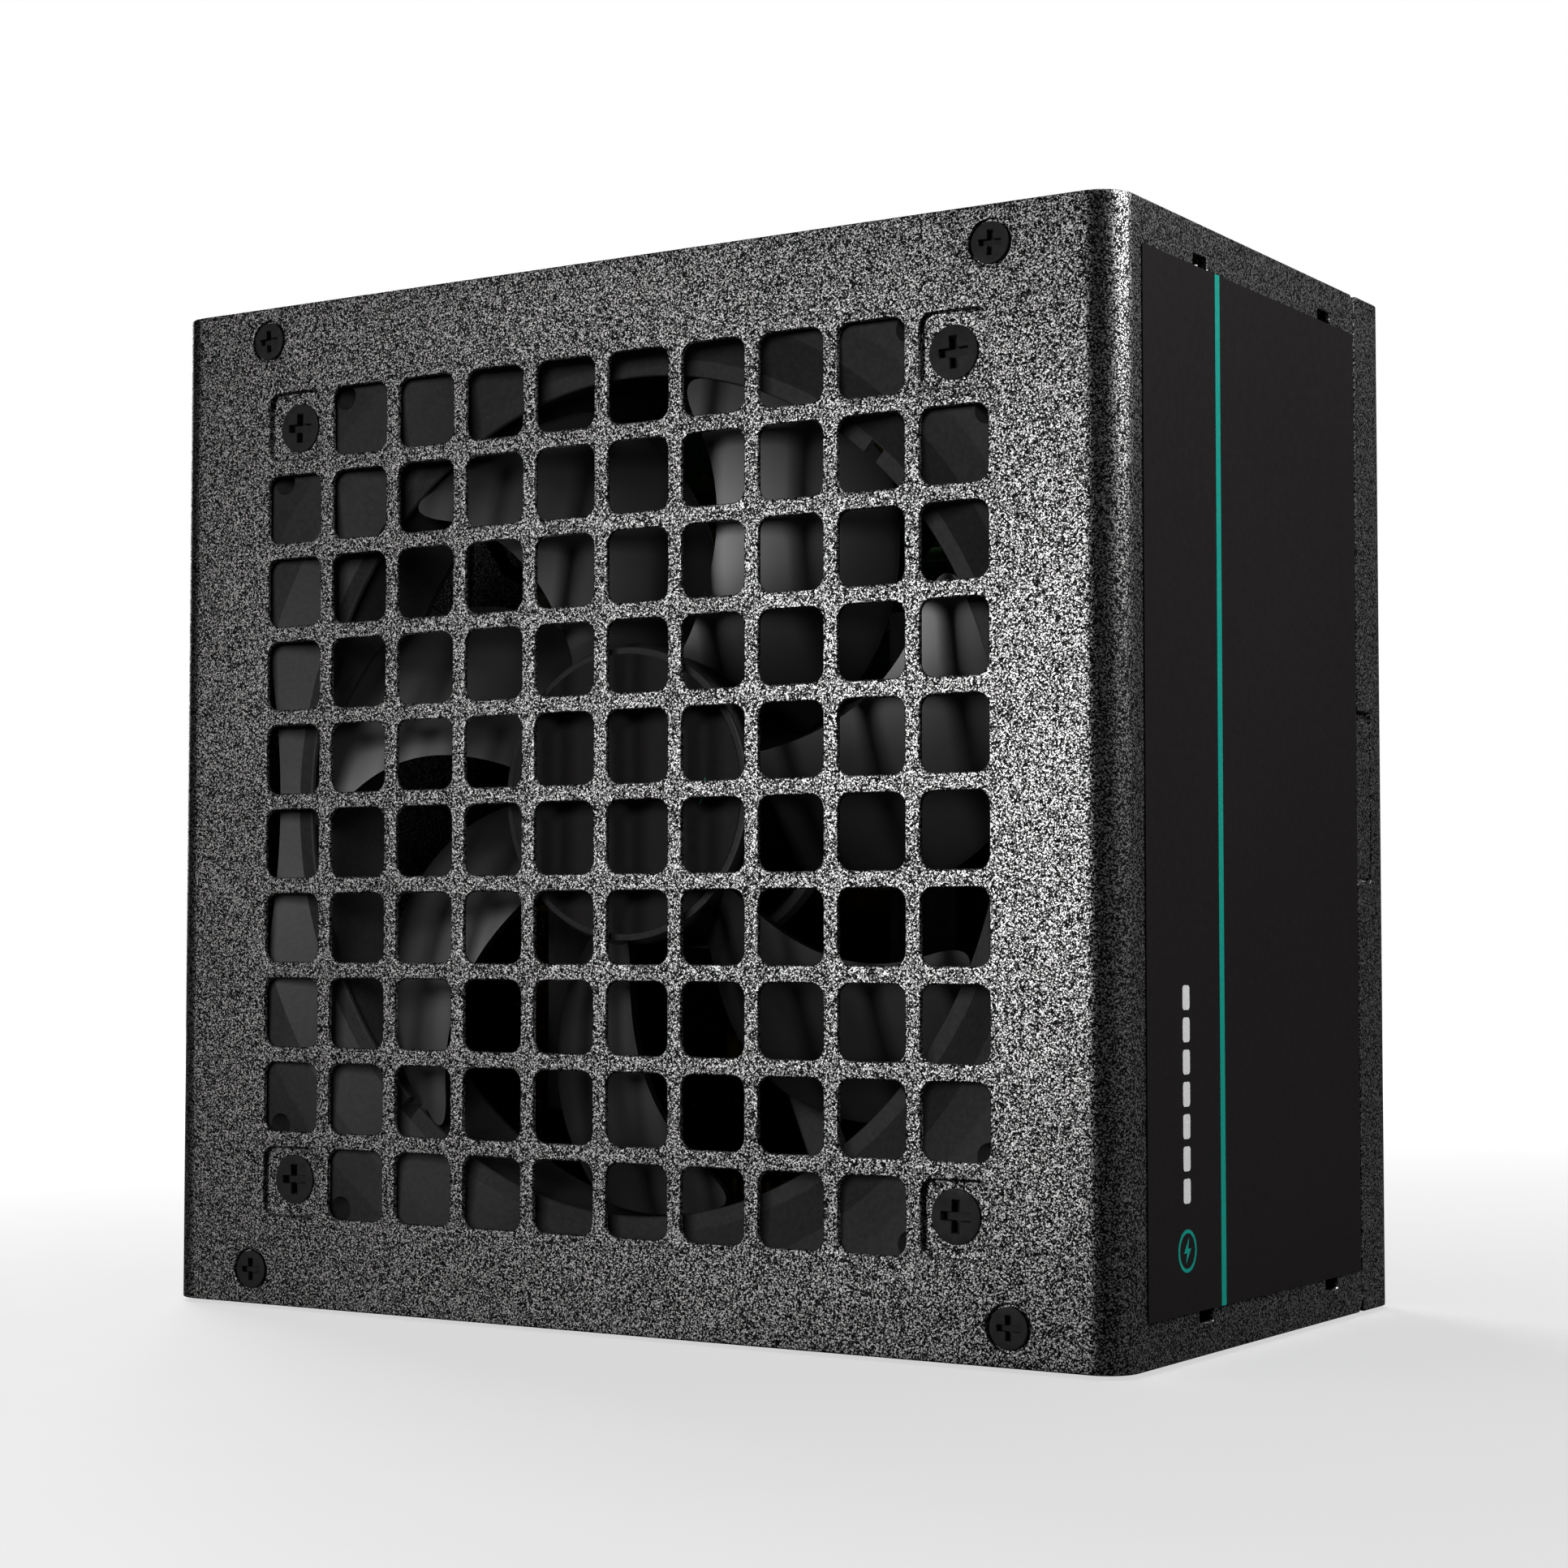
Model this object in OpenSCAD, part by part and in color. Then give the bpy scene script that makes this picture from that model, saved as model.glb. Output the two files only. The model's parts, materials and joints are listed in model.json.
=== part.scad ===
// Desktop computer power supply: folded steel case, 120 mm intake fan, mains
// inlet and rocker switch on the top panel, cable sockets on the bottom panel.
// X is the width, -Y is the face with the fan, +Z is the panel with the mains
// inlet. The unit stands on its socket panel, centred on the Z axis.

/* [Case] */
// Overall width of the case
case_w = 150; // [149:0.5:151]
// Height of the case, from the fan face to the back plate
case_h = 86; // [85:0.5:88]
// Depth of the case, from the socket panel to the mains panel
case_d = 140; // [140:1:146]
// Thickness of the steel sheet
sheet = 0.8; // [0.7:0.05:0.9]
// Outside radius of the four long bends
bend_r = 4.4; // [3.6:0.1:4.8]
// Width of the side strip that belongs to the back shell
strip_w = 12.1; // [11.5:0.1:13]
// Gap along the seam between the cover and the back shell
seam_gap = 0.25; // [0.15:0.05:0.35]
// Length of the locating tab on each side of the cover
tab_len = 21.6; // [18:0.2:24]
// How far the locating tab reaches into the back shell's strip
tab_reach = 4.7; // [3.5:0.1:5.5]

/* [Fan grille] */
// Distance between neighbouring grille openings
grille_pitch = 11.74; // [11.6:0.01:11.8]
// Width of a square grille opening
grille_hole = 9.5; // [8.5:0.1:9.8]
// Corner radius of a grille opening
grille_r = 1.7; // [1:0.1:2.5]
// Depth of the four pressed recesses that hold the fan screws
recess_depth = 1.3; // [1:0.1:1.5]

/* [Fan] */
// Width of the fan's frame
fan_size = 120; // [120:1:120]
// Thickness of the fan's frame
fan_depth = 25; // [25:1:25]
// Distance between the fan's mounting holes
fan_holes = 105; // [104.8:0.1:105.2]
// Number of blades
blade_count = 7; // [5:1:9]
// Diameter of the rotor's hub
hub_d = 40; // [38.4:0.2:41]
// Gap between the blade tips and the duct
tip_gap = 1.5; // [1:0.1:2.5]
// Radial running clearance between the shaft and its bearing
shaft_play = 0.03; // [0.02:0.01:0.05]

/* [Screws] */
// Head diameter of the countersunk case screws
case_screw_head = 5.2; // [5:0.1:5.5]
// Head diameter of the fan screws
fan_screw_head = 6.8; // [6.4:0.1:7.2]
// Half the distance between the upper case screws
upper_screw_x = 57.9; // [57:0.1:60]
// Half the distance between the lower case screws
lower_screw_x = 59.9; // [57:0.1:60]

/* [Mains panel] */
// Position of the mains inlet along the width
inlet_x = -40; // [-41:0.5:-39]
// Position of the mains inlet and the switch across the height
inlet_y = 8; // [7:0.5:9]
// Position of the power switch along the width
switch_x = -2; // [-3:0.5:2]
// Rocker angle either side of level
rocker_tilt = 11; // [9:0.5:12]
// Width across the flats of a vent opening
vent_flat = 5.2; // [4.4:0.1:5.6]
// Distance between neighbouring vent openings
vent_pitch = 6.4; // [6.2:0.1:7]
// Wall radius of the four tapped mounting holes, for 6-32 screws
mount_r = 1.42; // [1.38:0.02:1.5]

/* [Socket panel] */
// Contact spacing of the cable sockets
pin_pitch = 4.2; // [4.2:0.1:4.2]
// Depth of a cable socket behind the panel
socket_len = 12.8; // [11:0.1:12.8]

/* [Labels] */
// Thickness of a sticker
label_t = 0.2; // [0.1:0.05:0.3]
// Gap between a side label and the fan face
label_front = 6.5; // [6:0.1:8]
// Gap between a side label and the upper and lower edges
label_edge = 5.6; // [5:0.1:6]

/* [Hidden] */

coat_black = [0.13, 0.13, 0.13];
plastic_black = [0.09, 0.09, 0.10];
screw_black = [0.20, 0.20, 0.20];
label_black = [0.13, 0.13, 0.135];
steel_grey = [0.72, 0.72, 0.74];
alloy = [0.78, 0.79, 0.80];
copper = [0.80, 0.46, 0.24];
board_green = [0.10, 0.32, 0.16];
sleeve_black = [0.08, 0.08, 0.09];

hx = case_w / 2;
hy = case_h / 2;
fan_z = case_d / 2;
front_in = -hy + sheet;               // inner face of the fan side
back_in = hy - sheet;                 // inner face of the back plate
seam_y = hy - strip_w;                // edge of the cover's sides
tab_z0 = fan_z - tab_len / 2;
fan_front = -hy + recess_depth + sheet; // Y of the fan frame's front
fan_back = fan_front + fan_depth;
board_y = hy - 8.6;                   // component face of the main board
board_t = 1.6;
duct_r = fan_size / 2 - 3;
hub_r = hub_d / 2;
hub_front = -3.4;                     // below the front of the fan frame
shaft_r = 1.5;
mount_at = [[-hx + 6, hy - 6], [hx - 6, hy - 6], [-hx + 6, hy - 70], [hx - 30, hy - 80]];
slot_y = [-hy + 21.3, -hy + 61.2];    // locating slots near the cover's side edges
slot_w = 4.15;
screw_at = [[-upper_screw_x, case_d - 4.75], [upper_screw_x, case_d - 4.75],
            [-lower_screw_x, 4.7], [lower_screw_x, 4.7]];
inlet_hole = 20;                      // half the spacing of the inlet's screws
rocker_z = case_d - 0.4;              // height of the rocker's pivot

// A row of points along an arc, n steps from angle a to angle b
function arc(cx, cy, r, a, b, n = 8) =
    [for (i = [0:n]) [cx + r * cos(a + (b - a) * i / n), cy + r * sin(a + (b - a) * i / n)]];

// A rectangle with rounded corners, centred
function rounded(w, h, r, n = 5) = concat(
    arc(w / 2 - r, h / 2 - r, r, 0, 90, n), arc(-w / 2 + r, h / 2 - r, r, 90, 180, n),
    arc(-w / 2 + r, -h / 2 + r, r, 180, 270, n), arc(w / 2 - r, -h / 2 + r, r, 270, 360, n));

// Turns a flat shape so that it lies against the fan side: its z points to -Y
module facing(y) { translate([0, y, 0]) rotate([90, 0, 0]) children(); }

// The fan's own frame: origin at the centre of its front, z pointing out of the case
module at_fan() { translate([0, fan_front, fan_z]) rotate([90, 0, 0]) children(); }

// A component standing on the main board at x and z, its z pointing away from the board
module on_board(x, z) { translate([x, board_y, z]) rotate([90, 0, 0]) children(); }

// A bent round wire through a list of points
module wire(path, r) {
    for (i = [0:len(path) - 2]) hull() {
        translate(path[i]) sphere(r = r, $fn = 10);
        translate(path[i + 1]) sphere(r = r, $fn = 10);
    }
}

// Cross-shaped driver recess, cut downwards from z = 0
module cross_cut(len, wide, deep) {
    translate([-len / 2, -wide / 2, -deep]) cube([len, wide, deep + 1]);
    translate([-wide / 2, -len / 2, -deep]) cube([wide, len, deep + 1]);
}

// ------------------------------------------------------------------ case

// Section of the cover: fan side and two sides, seen along Z
function cover_section() = concat(
    [[-hx, seam_y]],
    arc(-hx + bend_r, -hy + bend_r, bend_r, 180, 270),
    arc(hx - bend_r, -hy + bend_r, bend_r, 270, 360),
    [[hx, seam_y], [hx - sheet, seam_y]],
    arc(hx - bend_r, -hy + bend_r, bend_r - sheet, 360, 270),
    arc(-hx + bend_r, -hy + bend_r, bend_r - sheet, 270, 180),
    [[-hx + sheet, seam_y]]);

// Section of the back shell: back plate and two side strips
function shell_section() = let (y0 = seam_y + seam_gap) concat(
    [[hx, y0]],
    arc(hx - bend_r, hy - bend_r, bend_r, 0, 90),
    arc(-hx + bend_r, hy - bend_r, bend_r, 90, 180),
    [[-hx, y0], [-hx + sheet, y0]],
    arc(-hx + bend_r, hy - bend_r, bend_r - sheet, 180, 90),
    arc(hx - bend_r, hy - bend_r, bend_r - sheet, 90, 0),
    [[hx - sheet, y0]]);

// Outline of an end panel, just inside the cover
function panel_outline() = let (g = 0.05, r = bend_r - sheet - g) concat(
    arc(hx - bend_r, hy - bend_r, r, 0, 90), arc(-hx + bend_r, hy - bend_r, r, 90, 180),
    arc(-hx + bend_r, -hy + bend_r, r, 180, 270), arc(hx - bend_r, -hy + bend_r, r, 270, 360));

module fan_cover() color(coat_black) difference() {
    union() {
        linear_extrude(height = case_d) polygon(cover_section());
        // locating tabs that drop into the notches of the back shell
        for (s = [-1, 1])
            translate([s > 0 ? hx - sheet : -hx, seam_y - 1, tab_z0])
                rotate([0, 90, 0]) translate([-tab_len / 2, (tab_reach + 1) / 2, 0])
                    linear_extrude(height = sheet) polygon(rounded(tab_len, tab_reach + 1, 0.7, 3));
        // backs of the pressed recesses
        facing(front_in + recess_depth)
            for (i = [-4.5, 4.5], j = [-4.5, 4.5])
                translate([i * grille_pitch, fan_z + j * grille_pitch, 0])
                    linear_extrude(height = recess_depth) polygon(rounded(grille_hole + 1.6, grille_hole + 1.6, grille_r + 0.8));
    }
    // grille openings, all but the four corner ones
    facing(front_in + 0.5) linear_extrude(height = sheet + 1)
        for (i = [0:9], j = [0:9]) if (!((i == 0 || i == 9) && (j == 0 || j == 9)))
            translate([(i - 4.5) * grille_pitch, fan_z + (j - 4.5) * grille_pitch])
                polygon(rounded(grille_hole, grille_hole, grille_r));
    // pressed recesses and the fan screws' holes
    for (i = [-4.5, 4.5], j = [-4.5, 4.5]) facing(-hy + recess_depth)
        translate([i * grille_pitch, fan_z + j * grille_pitch, 0])
            linear_extrude(height = recess_depth + 1) polygon(rounded(grille_hole, grille_hole, grille_r));
    for (i = [-1, 1], j = [-1, 1]) facing(fan_front + 1)
        translate([i * fan_holes / 2, fan_z + j * fan_holes / 2, 0]) cylinder(r = 2.35, h = 4, $fn = 32);
    // countersunk holes of the case screws
    for (p = screw_at) facing(front_in) translate([p[0], p[1], 0]) {
        translate([0, 0, -0.5]) cylinder(r = 1.75, h = 3, $fn = 32);
        translate([0, 0, sheet * 0.35]) cylinder(r = case_screw_head / 2 + 0.3, h = sheet, $fn = 48);
    }
    // locating slots beside the upper and lower edges
    for (s = [-1, 1], y = slot_y, z = [4, case_d - 7])
        translate([s * hx - 2, y, z]) cube([4, slot_w, 3]);
    // clipped corners at the seam
    for (s = [-1, 1], z = [0, case_d])
        translate([s * hx - 2, seam_y, z]) rotate([45, 0, 0]) translate([0, -0.6, -0.6]) cube([4, 1.2, 1.2]);
}

// One hexagonal opening is kept where it clears the panel's other features
function vent_clear(x, y) =
    abs(x) < hx - 8 && abs(y) < hy - 8
    && !(abs(x - inlet_x) < 29 && abs(y - inlet_y) < 16)
    && !(abs(x - switch_x) < 12 && abs(y - inlet_y) < 15)
    && min([for (m = mount_at) norm([x - m[0], y - m[1]])]) > 9.5
    && norm([x - 62, y - 20]) > 8;

module vent_openings() {
    for (i = [-12:12], j = [-8:8])
        let (x = (i + (j % 2 == 0 ? 0 : 0.5)) * vent_pitch, y = j * vent_pitch * cos(30))
            if (vent_clear(x, y)) translate([x, y]) rotate(30) circle(r = vent_flat / 2 / cos(30), $fn = 6);
}

// The sockets: centre x, centre y, contacts in a row
function wide_sockets() = [[-43, 18, 9], [-8, 18, 5]];
function eight_sockets() = [for (i = [0:4]) [-50 + 25 * i, -3, 4]];
function six_sockets() = [for (i = [0:2]) [18 + 20 * i, 18, 3]];
function all_sockets() = concat(wide_sockets(), eight_sockets(), six_sockets());
function socket_w(n) = n * pin_pitch + 1.2;

module base_shell() color(coat_black) difference() {
    union() {
        linear_extrude(height = case_d) polygon(shell_section());
        // joggled lips that sit behind the cover at the seam
        for (s = [-1, 1])
            translate([s > 0 ? hx - 2 * sheet : -hx + sheet, seam_y - 7, 6]) cube([sheet, 13, case_d - 12]);
        // mains panel with its vent
        translate([0, 0, case_d - sheet]) linear_extrude(height = sheet) difference() {
            polygon(panel_outline());
            vent_openings();
            translate([inlet_x, inlet_y]) square([28, 20.6], center = true);
            translate([switch_x, inlet_y]) square([13.2, 19.2], center = true);
        }
        // socket panel
        linear_extrude(height = sheet) difference() {
            polygon(panel_outline());
            for (s = all_sockets()) translate([s[0], s[1]]) square([socket_w(s[2]) + 0.3, 9.9], center = true);
        }
        // feet of the end panels, where they fold into the back plate
        for (z = [0, case_d - sheet]) translate([-hx + bend_r, back_in - 0.5, z]) cube([case_w - 2 * bend_r, 0.6, sheet]);
        // flanges under the fan side, which take the case screws
        for (z = [sheet, case_d - sheet - 8.5]) translate([-68, front_in + 0.05, z]) cube([136, sheet, 8.5]);
        // flanges inside the two sides
        for (s = [-1, 1], z = [sheet, case_d - sheet - 9])
            translate([s > 0 ? hx - 2 * sheet - 0.1 : -hx + sheet + 0.1, -hy + 8, z]) cube([sheet, 51, 9]);
        // tapped collars of the four mounting holes
        for (m = mount_at) translate([m[0], m[1], case_d - 3]) cylinder(r = 2.5, h = 2.5, $fn = 32);
        // tapped collar of the earth screw
        translate([62, back_in - 1.6, 112]) rotate([-90, 0, 0]) cylinder(r = 3, h = 2, $fn = 32);
    }
    for (m = mount_at) translate([m[0], m[1], case_d - 4]) cylinder(r = mount_r, h = 5, $fn = 32);
    for (s = [-1, 1]) translate([inlet_x + s * inlet_hole, inlet_y, case_d - 2]) cylinder(r = 1.55, h = 3, $fn = 32);
    for (p = screw_at) facing(front_in + 2) translate([p[0], p[1], 0]) cylinder(r = 1.53, h = 3, $fn = 32);
    translate([62, back_in - 2, 112]) rotate([-90, 0, 0]) cylinder(r = 2.02, h = 2.01, $fn = 32);
    // notches for the cover's tabs
    for (s = [-1, 1])
        translate([s > 0 ? hx - sheet : -hx - 1, seam_y - 1, tab_z0 - 0.4]) cube([sheet + 1, tab_reach + 1.3, tab_len + 1.9]);
    // windows behind the locating slots
    for (s = [-1, 1], z = [sheet, case_d - 8])
        translate([s * (hx - 2) - 2, slot_y[0] - 0.8, z]) cube([4, slot_w + 1.6, 8 - sheet]);
    // clipped corners at the seam
    for (s = [-1, 1], z = [0, case_d])
        translate([s * hx - 2 + (s > 0 ? 2 - sheet : 0), seam_y + seam_gap, z]) rotate([45, 0, 0])
            translate([0, -0.6, -0.6]) cube([2 + sheet, 1.2, 1.2]);
    // rounded bends between the back plate and the two end panels
    for (z = [0, 1]) translate([-hx + bend_r, hy, z * case_d]) rotate([90, 0, 90])
        linear_extrude(height = case_w - 2 * bend_r) scale([1, z > 0 ? -1 : 1])
            polygon(concat([[0.01, -0.01]], arc(-1.2, 1.2, 1.2, 270, 360)));
}

// Countersunk screw, top of the head at z = 0, shank downwards
module case_screw() difference() {
    union() {
        translate([0, 0, -0.3]) cylinder(r = case_screw_head / 2, h = 0.3, $fn = 48);
        translate([0, 0, -0.65 * sheet + 0.01]) cylinder(r1 = 1.9, r2 = case_screw_head / 2 - 0.1, h = 0.65 * sheet - 0.31, $fn = 48);
        translate([0, 0, -5]) cylinder(r = 1.5, h = 4.6, $fn = 32);
    }
    cross_cut(3.0, 0.78, 0.45);
}

module cover_screws() color(screw_black)
    for (p = screw_at) facing(-hy) translate([p[0], p[1], 0]) case_screw();

module fan_screws() color(screw_black)
    for (i = [-1, 1], j = [-1, 1]) facing(-hy + 0.72) translate([i * fan_holes / 2, fan_z + j * fan_holes / 2, 0]) difference() {
        union() {
            translate([0, 0, -(recess_depth - 0.72)]) cylinder(r = fan_screw_head / 2, h = recess_depth - 0.72, $fn = 48);
            translate([0, 0, -9]) cylinder(r = 2.1, h = 8.8, $fn = 32);
        }
        cross_cut(3.9, 0.98, 1.1);
    }

module side_label(s)
    translate([s > 0 ? hx : -hx - label_t, -hy + label_front, label_edge])
        cube([label_t, seam_y + hy - label_front - 0.7, case_d - 2 * label_edge]);

module right_side_label() color(label_black) side_label(1);
module left_side_label() color(label_black) side_label(-1);
module back_label() color([0.80, 0.80, 0.80])
    translate([0, hy, fan_z]) rotate([-90, 0, 0]) linear_extrude(height = label_t) polygon(rounded(112, 84, 2.5));

// ------------------------------------------------------------------- fan

module fan_frame() color(plastic_black) at_fan() difference() {
    union() {
        // front and rear flanges
        for (z = [-3.6, -fan_depth]) translate([0, 0, z]) linear_extrude(height = 3.6) difference() {
            polygon(rounded(fan_size, fan_size, 5));
            circle(r = duct_r, $fn = 128);
        }
        // duct
        translate([0, 0, -fan_depth + 1]) linear_extrude(height = fan_depth - 2) difference() {
            circle(r = duct_r + 2.2, $fn = 128);
            circle(r = duct_r, $fn = 128);
        }
        // corner posts and the gussets beside them
        for (a = [0:90:270]) rotate(a) {
            translate([fan_holes / 2, fan_holes / 2, -fan_depth + 1]) cylinder(r = 4, h = fan_depth - 2, $fn = 48);
            rotate(45) translate([duct_r + 1.5, -0.7, -fan_depth + 1]) cube([14, 1.4, fan_depth - 2]);
        }
        // motor seat on three-sided arms
        translate([0, 0, -fan_depth]) cylinder(r = 20.5, h = 2.4, $fn = 96);
        for (a = [22, 112, 202, 292]) rotate(a) translate([18, -2.4, -fan_depth]) cube([duct_r - 17, 4.8, 3]);
        // bearing tube
        translate([0, 0, -fan_depth + 1]) cylinder(r = 4.4, h = fan_depth - 1 - 9.5, $fn = 48);
    }
    for (i = [-1, 1], j = [-1, 1]) translate([i * fan_holes / 2, j * fan_holes / 2, -fan_depth - 1]) cylinder(r = 2.15, h = fan_depth + 2, $fn = 32);
    translate([0, 0, -fan_depth + 0.8]) cylinder(r = 3.2, h = fan_depth, $fn = 48);
}

// One point of a blade: s runs from the hub to the tip, t from the trailing edge to the leading edge in front
function blade_point(s, t, up) =
    let (r = hub_r - 0.8 + s * (duct_r - tip_gap - hub_r + 0.8),
         turn = -7.1 - 1.5 * s + 25.5 * s * s + (t - 0.5) * (41.8 - 10.5 * s),
         thick = (up ? 0.5 : -0.5) * (2.0 - 0.9 * s) * (0.35 + 2.6 * t * (1 - t)),
         z = -11.9 + 2.4 * s + (t - 0.5) * (13.2 - 4.2 * s) + 1.4 * sin(180 * t) * (1 - 0.4 * s))
    [r * cos(turn), r * sin(turn), z + thick];

module blade() {
    m = 6;    // steps along the span
    n = 8;    // steps along the chord
    top = [for (i = [0:m], j = [0:n]) blade_point(i / m, j / n, true)];
    low = [for (i = [0:m], j = [0:n]) blade_point(i / m, j / n, false)];
    k = (m + 1) * (n + 1);
    function id(i, j) = i * (n + 1) + j;
    polyhedron(points = concat(top, low), faces = concat(
        [for (i = [0:m - 1], j = [0:n - 1]) each [[id(i, j), id(i, j + 1), id(i + 1, j)], [id(i + 1, j), id(i, j + 1), id(i + 1, j + 1)]]],
        [for (i = [0:m - 1], j = [0:n - 1]) each [[k + id(i, j), k + id(i + 1, j), k + id(i, j + 1)], [k + id(i + 1, j), k + id(i + 1, j + 1), k + id(i, j + 1)]]],
        [for (j = [0:n - 1]) each [[id(0, j), k + id(0, j), id(0, j + 1)], [k + id(0, j), k + id(0, j + 1), id(0, j + 1)]]],
        [for (j = [0:n - 1]) each [[id(m, j), id(m, j + 1), k + id(m, j)], [k + id(m, j), id(m, j + 1), k + id(m, j + 1)]]],
        [for (i = [0:m - 1]) each [[id(i, 0), id(i + 1, 0), k + id(i, 0)], [k + id(i, 0), id(i + 1, 0), k + id(i + 1, 0)]]],
        [for (i = [0:m - 1]) each [[id(i, n), k + id(i, n), id(i + 1, n)], [k + id(i, n), k + id(i + 1, n), id(i + 1, n)]]]));
}

module fan_rotor() color(plastic_black) at_fan() {
    difference() {
        union() {
            translate([0, 0, -20.2]) cylinder(r = hub_r, h = 20.2 + hub_front - 1.2, $fn = 96);
            translate([0, 0, hub_front - 1.2]) cylinder(r1 = hub_r, r2 = hub_r - 1.2, h = 1.2, $fn = 96);
            for (i = [0:blade_count - 1]) rotate(i * 360 / blade_count) blade();
        }
        translate([0, 0, -21]) cylinder(r = hub_r - 2.4, h = 21 - 6.2, $fn = 96);
        translate([0, 0, -8]) cylinder(r = shaft_r + 0.01, h = 3.2, $fn = 32);
    }
    // seat of the shaft
    difference() {
        translate([0, 0, -8.6]) cylinder(r = 3.4, h = 2.6, $fn = 48);
        translate([0, 0, -9]) cylinder(r = shaft_r + 0.01, h = 4.2, $fn = 32);
    }
}

module fan_hub_label() color(label_black) at_fan()
    translate([0, 0, hub_front]) cylinder(r = hub_r - 1.5, h = 0.3, $fn = 96);

module fan_magnet_ring() color([0.25, 0.25, 0.26]) at_fan() translate([0, 0, -19.6]) difference() {
    cylinder(r = hub_r - 2.45, h = 12.4, $fn = 96);
    translate([0, 0, -1]) cylinder(r = hub_r - 4.6, h = 15, $fn = 96);
}

module fan_shaft() color(steel_grey) at_fan()
    translate([0, 0, -23.4]) cylinder(r = shaft_r, h = 18.6, $fn = 48);

module shaft_retainer() color(steel_grey) at_fan() translate([0, 0, -22.9]) difference() {
    cylinder(r = 2.7, h = 0.5, $fn = 32);
    translate([0, 0, -1]) cylinder(r = shaft_r + 0.01, h = 3, $fn = 32);
}

module fan_bearing() color([0.62, 0.50, 0.30]) at_fan() translate([0, 0, -22]) difference() {
    cylinder(r = 3.18, h = 12.4, $fn = 48);
    translate([0, 0, -1]) cylinder(r = shaft_r + shaft_play, h = 15, $fn = 48);
}

module fan_stator_core() color(steel_grey) at_fan() translate([0, 0, -18.6]) difference() {
    union() {
        cylinder(r = 7, h = 5, $fn = 48);
        for (a = [0:90:270]) rotate(a) {
            translate([0, -1.8, 0]) cube([12.5, 3.6, 5]);
            intersection() {
                difference() {
                    cylinder(r = 14.6, h = 5, $fn = 96);
                    translate([0, 0, -1]) cylinder(r = 12.2, h = 7, $fn = 96);
                }
                translate([0, -7.4, -1]) cube([20, 14.8, 7]);
            }
        }
    }
    translate([0, 0, -1]) cylinder(r = 4.45, h = 7, $fn = 48);
}

module fan_coils() color(copper) at_fan()
    for (a = [0:90:270]) rotate(a) translate([7.6, 0, -16.1]) difference() {
        translate([0, -4, -4.2]) cube([3.6, 8, 8.4]);
        translate([-1, -1.85, -2.55]) cube([7, 3.7, 5.1]);
    }

module fan_circuit_board() color(board_green) at_fan() translate([0, 0, -22.5]) difference() {
    cylinder(r = 16.5, h = 1, $fn = 64);
    translate([0, 0, -1]) cylinder(r = 4.5, h = 3, $fn = 48);
}

module fan_lead() color([0.12, 0.12, 0.12])
    for (d = [0, 2.1]) wire([[9 + d, fan_back + 1.2, 83 - d], [34, fan_back + 1.2, 107 - d * 1.2], [45 + d, fan_back + 2.4, 121.5],
        [47 + d, fan_back + 8, 125.5], [47 + d, board_y - 14, 126], [47 + d, board_y - 8.2, 126]], 0.85);

// ----------------------------------------------------------- mains inlet

module inlet_shape(w, h, c) polygon([[-w / 2, -h / 2], [w / 2, -h / 2], [w / 2, h / 2 - c], [w / 2 - c, h / 2], [-w / 2 + c, h / 2], [-w / 2, h / 2 - c]]);

module inlet_housing() color(plastic_black) translate([inlet_x, inlet_y, 0]) difference() {
    union() {
        translate([0, 0, case_d]) linear_extrude(height = 2.2) polygon(rounded(50, 23.6, 5));
        translate([0, 0, case_d + 2]) linear_extrude(height = 0.9) inlet_shape(30.6, 22.4, 4);
        translate([0, 0, case_d - 19]) linear_extrude(height = 19.5) inlet_shape(27.4, 20, 4);
    }
    translate([0, 0, case_d - 16.4]) linear_extrude(height = 22) inlet_shape(24.4, 16, 4.2);
    for (s = [-1, 1]) translate([s * inlet_hole, 0, case_d - 1]) {
        cylinder(r = 1.65, h = 6, $fn = 32);
        translate([0, 0, 2.1]) cylinder(r = 3.05, h = 2, $fn = 48);
    }
    // openings that the three pins are moulded through
    for (p = [[-7, -2], [7, -2], [0, 2]]) translate([p[0] - 1.02, p[1] - 2.02, case_d - 20]) cube([2.04, 4.04, 5]);
}

module inlet_pins() color(steel_grey) translate([inlet_x, inlet_y, 0])
    for (p = [[-7, -2], [7, -2], [0, 2]]) difference() {
        translate([p[0] - 1, p[1] - 2, case_d - 27]) cube([2, 4, 24]);
        for (s = [-1, 1]) translate([p[0] - 2, p[1] + s * 2, case_d - 3]) rotate([45, 0, 0]) translate([0, -0.5, -0.5]) cube([4, 1, 1]);
    }

module inlet_screws() color(screw_black) for (s = [-1, 1])
    translate([inlet_x + s * inlet_hole, inlet_y, case_d + 2.2]) difference() {
        union() {
            translate([0, 0, -0.6]) cylinder(r = 2.8, h = 0.6, $fn = 48);
            translate([0, 0, -1.1]) cylinder(r1 = 1.5, r2 = 2.6, h = 0.5, $fn = 48);
            translate([0, 0, -7]) cylinder(r = 1.5, h = 6.2, $fn = 32);
        }
        cross_cut(3.4, 0.8, 0.9);
    }

module inlet_board() color(board_green) translate([inlet_x, inlet_y, case_d - 23.6]) difference() {
    translate([-20, -9.5, 0]) cube([40, 19, 1.6]);
    for (p = [[-7, -2], [7, -2], [0, 2]]) translate([p[0] - 1.02, p[1] - 2.02, -1]) cube([2.04, 4.04, 4]);
}

module inlet_capacitor() color([0.85, 0.72, 0.15]) translate([inlet_x, inlet_y, case_d - 23.6])
    translate([-13, 4.2, -10.5]) cube([26, 5.2, 10.5]);

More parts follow.
